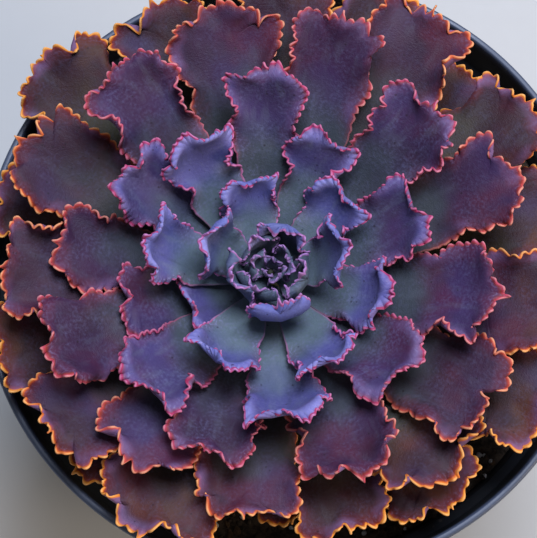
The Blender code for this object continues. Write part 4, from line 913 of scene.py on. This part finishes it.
def pot_material(pot):
    """Black moulded plastic with dust, fine scuffs and a painted blue-grey sky reflection round the top of the
    rim.
    """
    material, nodes, shader = new_material("black moulded plastic")
    times, plus = nodes.times, nodes.plus
    place = nodes.object_place()
    dust = nodes.mottling(place, 38.0, 1500.0, 420.0, 0.05)
    scuffs = nodes.noise(nodes.stretched(place, (1.0, 1.0, 9.0)), 160.0, 4.0, 0.7)
    rubbed = nodes.between(scuffs, 0.56, 0.78)
    # painted reflection: a blue-grey band of sky light round the top of the rim
    rim_reflection = nodes.between(nodes.height(place), pot.height - 0.0040, pot.height - 0.0006, 0.0, 0.75)
    body = nodes.tint(pot.plastic, (0.10, 0.095, 0.085), dust["Patches"], 0.05)
    body = nodes.tint(body, (0.05, 0.055, 0.065), rubbed, 0.18)
    body = nodes.tint(body, (0.16, 0.14, 0.11), dust["Specks"], 0.35)
    nodes.set(shader["Base Color"], nodes.tint(body, (0.075, 0.095, 0.150), rim_reflection))
    rough = plus(plus(pot.roughness, times(dust["Patches"], 0.14)), times(rubbed, 0.12))
    nodes.set(shader["Roughness"], rough)
    nodes.set(shader["Normal"], nodes.bump(plus(scuffs, dust["Grain"]), 0.12, 0.0003))
    return material


def crumb_material(name, dark, light, roughness, scale):
    """Matt crumbs whose colour wanders between two tones."""
    material, nodes, shader = new_material(name)
    mottle = nodes.mottling(nodes.object_place(), scale, scale * 9, scale * 2.5, 0.10)
    body = nodes.mix(mottle["Patches"], dark, light)
    body = nodes.tint(body, nodes.mix(0.6, body, dark), nodes.between(mottle["Grain"], 0.35, 0.65, 0.0, 0.55))
    nodes.set(shader["Base Color"], nodes.tint(body, light, mottle["Specks"], 0.4))
    nodes.set(shader["Roughness"], nodes.plus(roughness, nodes.times(mottle["Grain"], 0.15)))
    nodes.set(shader["Normal"], nodes.bump(mottle["Grain"], 0.6, 0.0006))
    shader["Specular IOR Level"].default_value = 0.25
    return material


def floor_material(tone):
    """Pale plain floor with a faint cloudiness."""
    material, nodes, shader = new_material("pale floor")
    mottle = nodes.mottling(nodes.object_place(), 6.0, 160.0, 60.0, 0.0)
    nodes.set(shader["Base Color"], nodes.tint(tone, [c * 0.8 for c in tone], mottle["Patches"], 0.10))
    nodes.set(shader["Roughness"], nodes.plus(0.6, nodes.times(mottle["Grain"], 0.2)))
    return material


# Meshes

def linked(name, mesh):
    """A new object of the scene with that mesh."""
    obj = bpy.data.objects.new(name, mesh)
    bpy.context.scene.collection.objects.link(obj)
    return obj


def link(name, mesh, material, body="root"):
    """A new object of that material, which rides on a body unless it is part of the stage."""
    obj = linked(name, mesh)
    mesh.materials.clear()
    mesh.materials.append(material)
    if body:
        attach(obj, body)
    return obj


def mesh_of(name, bm):
    """A mesh with what the working mesh holds, which is freed."""
    mesh = bpy.data.meshes.new(name)
    bm.to_mesh(mesh)
    bm.free()
    return mesh


def turned(name, profile, sides):
    """A closed solid of revolution about Z from (radius, height) points in metres that end on the axis."""
    circle = [(math.cos(math.tau * i / sides), math.sin(math.tau * i / sides)) for i in range(sides)]
    points = [(r * x, r * y, z) for r, z in profile[1:-1] for x, y in circle]
    foot, head = len(points), len(points) + 1
    faces = []
    for i in range(sides):
        j = (i + 1) % sides
        rings = range(0, foot, sides)
        faces.append((foot, j, i))
        faces += [(a + i, a + j, b + j, b + i) for a, b in zip(rings, rings[1:])]
        faces.append((rings[-1] + i, rings[-1] + j, head))
    mesh = bpy.data.meshes.new(name)
    mesh.from_pydata(points + [(0, 0, profile[0][1]), (0, 0, profile[-1][1])], [], faces)
    return mesh


def rounded(points, radius, steps=4):
    """The same profile with each inner corner rounded by a small curve."""
    points = [Vector(p) for p in points]
    result = [points[0]]
    for before, corner, after in zip(points, points[1:], points[2:]):
        reach = min(radius, *(ROUNDED_SHARE * (other - corner).length for other in (before, after)))
        start = corner + reach * (before - corner).normalized()
        end = corner + reach * (after - corner).normalized()
        for i in range(steps + 1):
            u = i / steps
            result.append((1 - u) ** 2 * start + 2 * u * (1 - u) * corner + u * u * end)
    return result + [points[-1]]


def evaluated(obj):
    """The object's mesh with its modifiers applied; the object itself is removed."""
    depsgraph = bpy.context.evaluated_depsgraph_get()
    mesh = bpy.data.meshes.new_from_object(obj.evaluated_get(depsgraph))
    bpy.data.objects.remove(obj, do_unlink=True)
    return mesh


def inner_wall_radius(pot, height):
    """Radius of the pot's inner wall at a height between its floor and its rim band."""
    foot, neck = pot.base_radius - BASE_INSET, pot.rim_radius - NECK_INSET
    return foot + (neck - foot) * (height - POT_FLOOR) / (pot.height - pot.band_height - POT_FLOOR)


class ECHEVERIA_OT_stage(bpy.types.Operator):
    """Make the floor, the lights and the camera"""
    bl_idname = "echeveria.stage"
    bl_label = "Stage"

    def execute(self, context):
        stage = context.scene.echeveria_stage
        bm = bmesh.new()
        bmesh.ops.create_grid(bm, x_segments=1, y_segments=1, size=FLOOR_HALF_WIDTH)
        floor = link("floor", mesh_of("floor", bm), floor_material(tuple(stage.floor)), body=None)
        floor.location.z = -FLOOR_DROP
        self.add_light("warm light", (0.95, -0.45, 0.60), 0.45, stage.warm_light, (1.0, 0.84, 0.68))
        self.add_light("cool light", (0.20, 0.45, 1.35), 0.70, stage.cool_light, (0.72, 0.80, 1.0))
        world = bpy.data.worlds.new("even light")
        world.use_nodes = True
        background = world.node_tree.nodes["Background"].inputs
        background["Color"].default_value = (0.86, 0.90, 1.0, 1.0)
        background["Strength"].default_value = stage.sky
        context.scene.world = world
        context.scene.view_settings.view_transform = "Standard"
        self.add_camera(context, stage)
        return {"FINISHED"}

    def add_light(self, name, place, size, power, tint):
        data = bpy.data.lights.new(name, "AREA")
        data.energy = power
        data.size = size
        data.color = tint
        light = linked(name, data)
        light.location = place
        light.rotation_euler = (Vector(LIGHT_TARGET) - Vector(place)).to_track_quat("-Z", "Y").to_euler()

    def add_camera(self, context, stage):
        """Above the pot, looking a little north."""
        data = bpy.data.cameras.new("camera")
        data.lens = stage.lens
        data.sensor_width = SENSOR_WIDTH
        view = Vector((0.0, math.cos(stage.elevation), -math.sin(stage.elevation)))
        camera = linked("camera", data)
        camera.location = Vector(VIEW_TARGET) - stage.distance * view
        camera.rotation_euler = view.to_track_quat("-Z", "Y").to_euler()
        context.scene.camera = camera


class ECHEVERIA_OT_pot(bpy.types.Operator):
    """Make the pot: a tapered wall, a stepped band with a rolled rim, and a floor with drain holes"""
    bl_idname = "echeveria.pot"
    bl_label = "Pot"

    def execute(self, context):
        pot = context.scene.echeveria_pot
        band = pot.height - pot.band_height
        foot = inner_wall_radius(pot, POT_FLOOR)
        neck = inner_wall_radius(pot, band)
        outer = rounded((
            # underside, with a shallow groove inside its edge
            (0, 0),
            (pot.base_radius - 0.006, 0),
            (pot.base_radius - 0.005, 0.0006),
            (pot.base_radius - 0.0035, 0),
            (pot.base_radius, 0),
            # outside of the wall and of the band
            (foot + WALL, 0.0015),
            (neck + WALL, band - 0.002),
            (pot.rim_radius - 0.0016, band - 0.0002),
            (pot.rim_radius - 0.0013, band + 0.0030),
            # rim
            (pot.rim_radius, pot.height - 0.0012),
            (pot.rim_radius - 0.0005, pot.height),
            (pot.rim_radius - 0.0020, pot.height),
            (pot.rim_radius - 0.0025, pot.height - 0.0008),
            # inside of the band and of the wall, and the floor
            (pot.rim_radius - 0.0045, band + 0.0012),
            (neck, band - 0.0012),
            (foot, POT_FLOOR),
            (0, POT_FLOOR),
        ), POT_FILLET)
        body = linked("pot_body", turned("pot_body", outer, POT_SIDES))
        holes = self.drain_holes()
        cut = body.modifiers.new("drain holes", "BOOLEAN")
        cut.operation = "DIFFERENCE"
        cut.object = holes
        mesh = evaluated(body)
        bpy.data.objects.remove(holes, do_unlink=True)
        mesh.shade_smooth()
        mesh.set_sharp_from_angle(angle=SHARP_ANGLE)
        shell = link("pot_shell", mesh, pot_material(pot))
        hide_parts("pot")
        return {"FINISHED"}

    def drain_holes(self):
        """The cutters of the drain holes, as one object."""
        bm = bmesh.new()
        for i in range(DRAIN_HOLES):
            angle = math.tau * (i + DRAIN_START) / DRAIN_HOLES
            place = (DRAIN_CIRCLE_RADIUS * math.cos(angle), DRAIN_CIRCLE_RADIUS * math.sin(angle), 0.0)
            bmesh.ops.create_cone(bm, cap_ends=True, segments=32, radius1=DRAIN_RADIUS, radius2=DRAIN_RADIUS,
                                  depth=4 * POT_FLOOR, matrix=Matrix.Translation(place))
        return linked("drain holes", mesh_of("drain holes", bm))


def lumps(x, y):
    """Even clod-like waves of the mix's surface, from about -1 to 1."""
    value = 0.0
    for i in range(1, LUMP_WAVES + 1):
        angle = LUMP_TURN * i + LUMP_START
        pitch = LUMP_PITCH * LUMP_FINER ** i
        bend = LUMP_BEND * math.sin(LUMP_BEND_PITCH * pitch * (y * math.cos(angle) - x * math.sin(angle)))
        value += math.sin(pitch * (x * math.cos(angle) + y * math.sin(angle)) + LUMP_SHIFT * i + bend) / i
    return value / LARGEST_LUMP


class ECHEVERIA_OT_mix(bpy.types.Operator):
    """Make the bed of potting mix with its cloddy top"""
    bl_idname = "echeveria.mix"
    bl_label = "Potting mix"

    def execute(self, context):
        pot = context.scene.echeveria_pot
        mix = context.scene.echeveria_mix
        bottom = POT_FLOOR + MIX_GAP
        foot = inner_wall_radius(pot, bottom) - MIX_GAP
        brim = inner_wall_radius(pot, mix.level) - MIX_GAP
        profile = [(0, bottom), (foot, bottom), (brim, mix.level - MIX_EDGE)]
        for share in (i / MIX_RINGS for i in range(MIX_RINGS)):
            profile.append((brim * (1 - share), mix.level + mix.mound * float(smooth(share))))
        profile.append((0, mix.level + mix.mound))
        mesh = turned("mix", profile, MIX_SIDES)
        for vert in mesh.vertices:
            radius = math.hypot(vert.co.x, vert.co.y)
            if vert.co.z > mix.level - MIX_TOP_ZONE and radius < brim - MIX_WALL_ZONE:
                vert.co.z += mix.grain * lumps(vert.co.x, vert.co.y)
        mesh.shade_smooth()
        material = crumb_material("moist potting mix", tuple(mix.dark), tuple(mix.light), 0.8, 420.0)
        bed = link("mix_bed", mesh, material)
        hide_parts("soil")
        return {"FINISHED"}


def scatter_tree():
    """Geometry nodes that strew crumbs over the upward faces of a surface."""
    tree = bpy.data.node_groups.new("strewn crumbs", "GeometryNodeTree")
    sockets = {"Surface": "Geometry", "Density": "Float", "Smallest": "Float", "Largest": "Float",
               "Flatness": "Float", "Length": "Float", "Rounding": "Int", "Seed": "Int", "Material": "Material"}
    for title, kind in sockets.items():
        tree.interface.new_socket(title, in_out="INPUT", socket_type="NodeSocket" + kind)
    tree.interface.new_socket("Crumbs", in_out="OUTPUT", socket_type="NodeSocketGeometry")
    nodes = Nodes(tree)
    given = nodes.add("NodeGroupInput").outputs
    seed = given["Seed"]
    upright = nodes.height(nodes.add("GeometryNodeInputNormal").outputs[0])
    facing_up = nodes.add("FunctionNodeCompare", {0: upright, 1: LEAST_UPRIGHT}, data_type="FLOAT",
                          operation="GREATER_THAN").outputs[0]
    strewn = nodes.add("GeometryNodeDistributePointsOnFaces",
                       {"Mesh": given["Surface"], "Selection": facing_up, "Density": given["Density"],
                        "Seed": seed}, distribute_method="RANDOM")
    crumb = nodes.add("GeometryNodeMeshIcoSphere", {"Radius": 0.5, "Subdivisions": given["Rounding"]})
    size = nodes.add("FunctionNodeRandomValue", {2: given["Smallest"], 3: given["Largest"], "Seed": seed},
                     data_type="FLOAT").outputs[1]
    form = nodes.add("ShaderNodeCombineXYZ", {0: given["Length"], 1: 1.0, 2: given["Flatness"]}).outputs[0]
    scale = nodes.add("ShaderNodeVectorMath", {0: form, "Scale": size}, operation="SCALE").outputs[0]
    turn = nodes.add("FunctionNodeRandomValue", {0: (-0.5, -0.5, 0.0), 1: (0.5, 0.5, math.tau), "Seed": seed},
                     data_type="FLOAT_VECTOR").outputs[0]
    placed = nodes.add("GeometryNodeInstanceOnPoints",
                       {"Points": strewn.outputs["Points"], "Instance": crumb.outputs["Mesh"],
                        "Rotation": turn, "Scale": scale}).outputs[0]
    real = nodes.add("GeometryNodeRealizeInstances", {0: placed}).outputs[0]
    dents = nodes.add("ShaderNodeTexNoise", {"Scale": DENT_SCALE}).outputs["Color"]
    centred = nodes.add("ShaderNodeVectorMath", {0: dents, 1: (0.5, 0.5, 0.5)}, operation="SUBTRACT").outputs[0]
    pushed = nodes.add("ShaderNodeVectorMath", {0: centred, "Scale": nodes.times(given["Largest"], DENT_SHARE)},
                       operation="SCALE").outputs[0]
    dented = nodes.add("GeometryNodeSetPosition", {"Geometry": real, "Offset": pushed}).outputs[0]
    finished = nodes.add("GeometryNodeSetMaterial", {"Geometry": dented, "Material": given["Material"]})
    nodes.add("NodeGroupOutput", {0: finished.outputs[0]})
    return tree


class ECHEVERIA_OT_crumbs(bpy.types.Operator):
    """Strew perlite, bark chips and dark crumbs over the potting mix"""
    bl_idname = "echeveria.crumbs"
    bl_label = "Perlite and bark"

    def execute(self, context):
        mix = context.scene.echeveria_mix
        bed = context.scene.objects["mix_bed"]
        tree = shared("node_groups", "strewn crumbs", scatter_tree)
        perlite = crumb_material("perlite", (0.42, 0.40, 0.36), (0.80, 0.78, 0.74), 0.7, 700.0)
        bark = crumb_material("bark chips", (0.030, 0.016, 0.008), (0.135, 0.075, 0.036), 0.75, 260.0)
        clods = crumb_material("dark crumbs", tuple(mix.dark), tuple(mix.light), 0.8, 300.0)
        # name, material, crumbs per square metre, smallest share, flatness, length, rounding, seed and size
        rows = (
            ("mix_perlite", perlite, 22000.0, 0.55, 0.8, 1.2, 2, 3, mix.perlite_size),
            ("mix_bark", bark, 22000.0, 0.45, 0.35, 1.6, 2, 8, mix.chip_size * 0.6),
            ("mix_clods", clods, 110000.0, 0.3, 0.7, 1.1, 1, 5, CLOD_SIZE),
        )
        for name, material, density, small, flatness, stretch, rounding, seed, size in rows:
            strewer = linked(name, bed.data.copy())
            modifier = strewer.modifiers.new("crumbs", "NODES")
            modifier.node_group = tree
            values = {"Density": density, "Smallest": small * size, "Largest": size, "Flatness": flatness,
                      "Length": stretch, "Rounding": rounding, "Seed": seed, "Material": material}
            for socket in tree.interface.items_tree:
                if socket.in_out == "INPUT" and socket.name in values:
                    modifier[socket.identifier] = values[socket.name]
            mesh = evaluated(strewer)
            mesh.shade_smooth()
            piece = link(name, mesh, material)
        return {"FINISHED"}


class ECHEVERIA_OT_stem(bpy.types.Operator):
    """Make the stem and the six smallest heart leaves at its tip"""
    bl_idname = "echeveria.stem"
    bl_label = "Stem and heart"

    def execute(self, context):
        leaf = context.scene.echeveria_leaf
        rows = MIDDLE_LINES[::-1]
        neck = rows[-1][2]
        heights = [STEM_COLLAR] + [row[2] for row in rows]
        radii = [rows[0][1] + STEM_FLARE] + [row[1] for row in rows]
        profile = list(STEM_FOOT)
        for height in np.linspace(STEM_COLLAR, neck, STEM_RINGS):
            radius = float(np.interp(height, heights, radii)) - ROOT_CLEARANCE
            profile.append((max(radius, LEAST_STEM_RADIUS), float(height)))
        profile += [(radius, neck + rise) for radius, rise in STEM_BUD]
        mesh = turned("stem", [(MM * r, MM * z) for r, z in profile], STEM_SIDES)
        mesh.transform(Matrix.Translation((MM * STEM_X, MM * STEM_Y, 0)))
        mesh.shade_smooth()
        material = crumb_material("stem skin", (0.045, 0.050, 0.030), (0.115, 0.110, 0.070), 0.6, 130.0)
        stem = link("stem_core", mesh, material)
        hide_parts("stem")
        skin = shared("materials", "ruffled leaf", leaf_material, leaf)
        for number, blade in enumerate(all_blades()[:len(HEART_LEAVES)], start=1):
            bud = link(f"heart_leaf_{number}", blade_mesh(f"heart_leaf_{number}", blade, leaf), skin)
            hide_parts("stem")
        return {"FINISHED"}


class ECHEVERIA_OT_leaves(bpy.types.Operator):
    """Make the ruffled leaves of the rosette"""
    bl_idname = "echeveria.leaves"
    bl_label = "Leaves"

    def execute(self, context):
        leaf = context.scene.echeveria_leaf
        skin = shared("materials", "ruffled leaf", leaf_material, leaf)
        for number, blade in enumerate(all_blades()[len(HEART_LEAVES):], start=1):
            name = f"ruffled_leaf_{number:02d}"
            node = f"leaf_{number:02d}"
            piece = link(name, blade_mesh(name, blade, leaf), skin)
            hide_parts(node)
        return {"FINISHED"}


def all_blades():
    """Every leaf's shape, from the heart outwards, with the room that its neighbours leave it."""
    blades = [Blade(*row) for row in HEART_LEAVES + LEAVES]
    for blade in blades:
        blade.set_room(blades)
    return blades


class ECHEVERIA_PT_panel(bpy.types.Panel):
    """Sidebar panel with the plant's settings and the operators that make it"""
    bl_idname = "ECHEVERIA_PT_panel"
    bl_label = "Potted echeveria"
    bl_space_type = "VIEW_3D"
    bl_region_type = "UI"
    bl_category = "Echeveria"

    def draw(self, context):
        for settings, operators in SECTIONS:
            box = self.layout.box()
            group = getattr(context.scene, settings)
            for item in group.bl_rna.properties:
                if item.identifier not in {"rna_type", "name"}:
                    box.prop(group, item.identifier)
            for operator in operators:
                box.operator(operator.bl_idname)


SECTIONS = (
    ("echeveria_stage", (ECHEVERIA_OT_stage,)),
    ("echeveria_pot", (ECHEVERIA_OT_pot,)),
    ("echeveria_mix", (ECHEVERIA_OT_mix, ECHEVERIA_OT_crumbs)),
    ("echeveria_leaf", (ECHEVERIA_OT_stem, ECHEVERIA_OT_leaves)),
)
SETTINGS = {
    "echeveria_stage": StageSettings,
    "echeveria_pot": PotSettings,
    "echeveria_mix": MixSettings,
    "echeveria_leaf": LeafSettings,
}
OPERATORS = [operator for _, operators in SECTIONS for operator in operators]


def register():
    for cls in [*SETTINGS.values(), *OPERATORS, ECHEVERIA_PT_panel]:
        bpy.utils.register_class(cls)
    for name, settings in SETTINGS.items():
        setattr(bpy.types.Scene, name, bpy.props.PointerProperty(type=settings))


def unregister():
    for name in SETTINGS:
        delattr(bpy.types.Scene, name)
    for cls in [ECHEVERIA_PT_panel, *OPERATORS[::-1], *SETTINGS.values()]:
        bpy.utils.unregister_class(cls)


def main():
    register()
    bpy.ops.echeveria.stage()
    bpy.ops.echeveria.pot()
    bpy.ops.echeveria.mix()
    bpy.ops.echeveria.crumbs()
    bpy.ops.echeveria.stem()
    bpy.ops.echeveria.leaves()


if __name__ == "__main__":
    main()
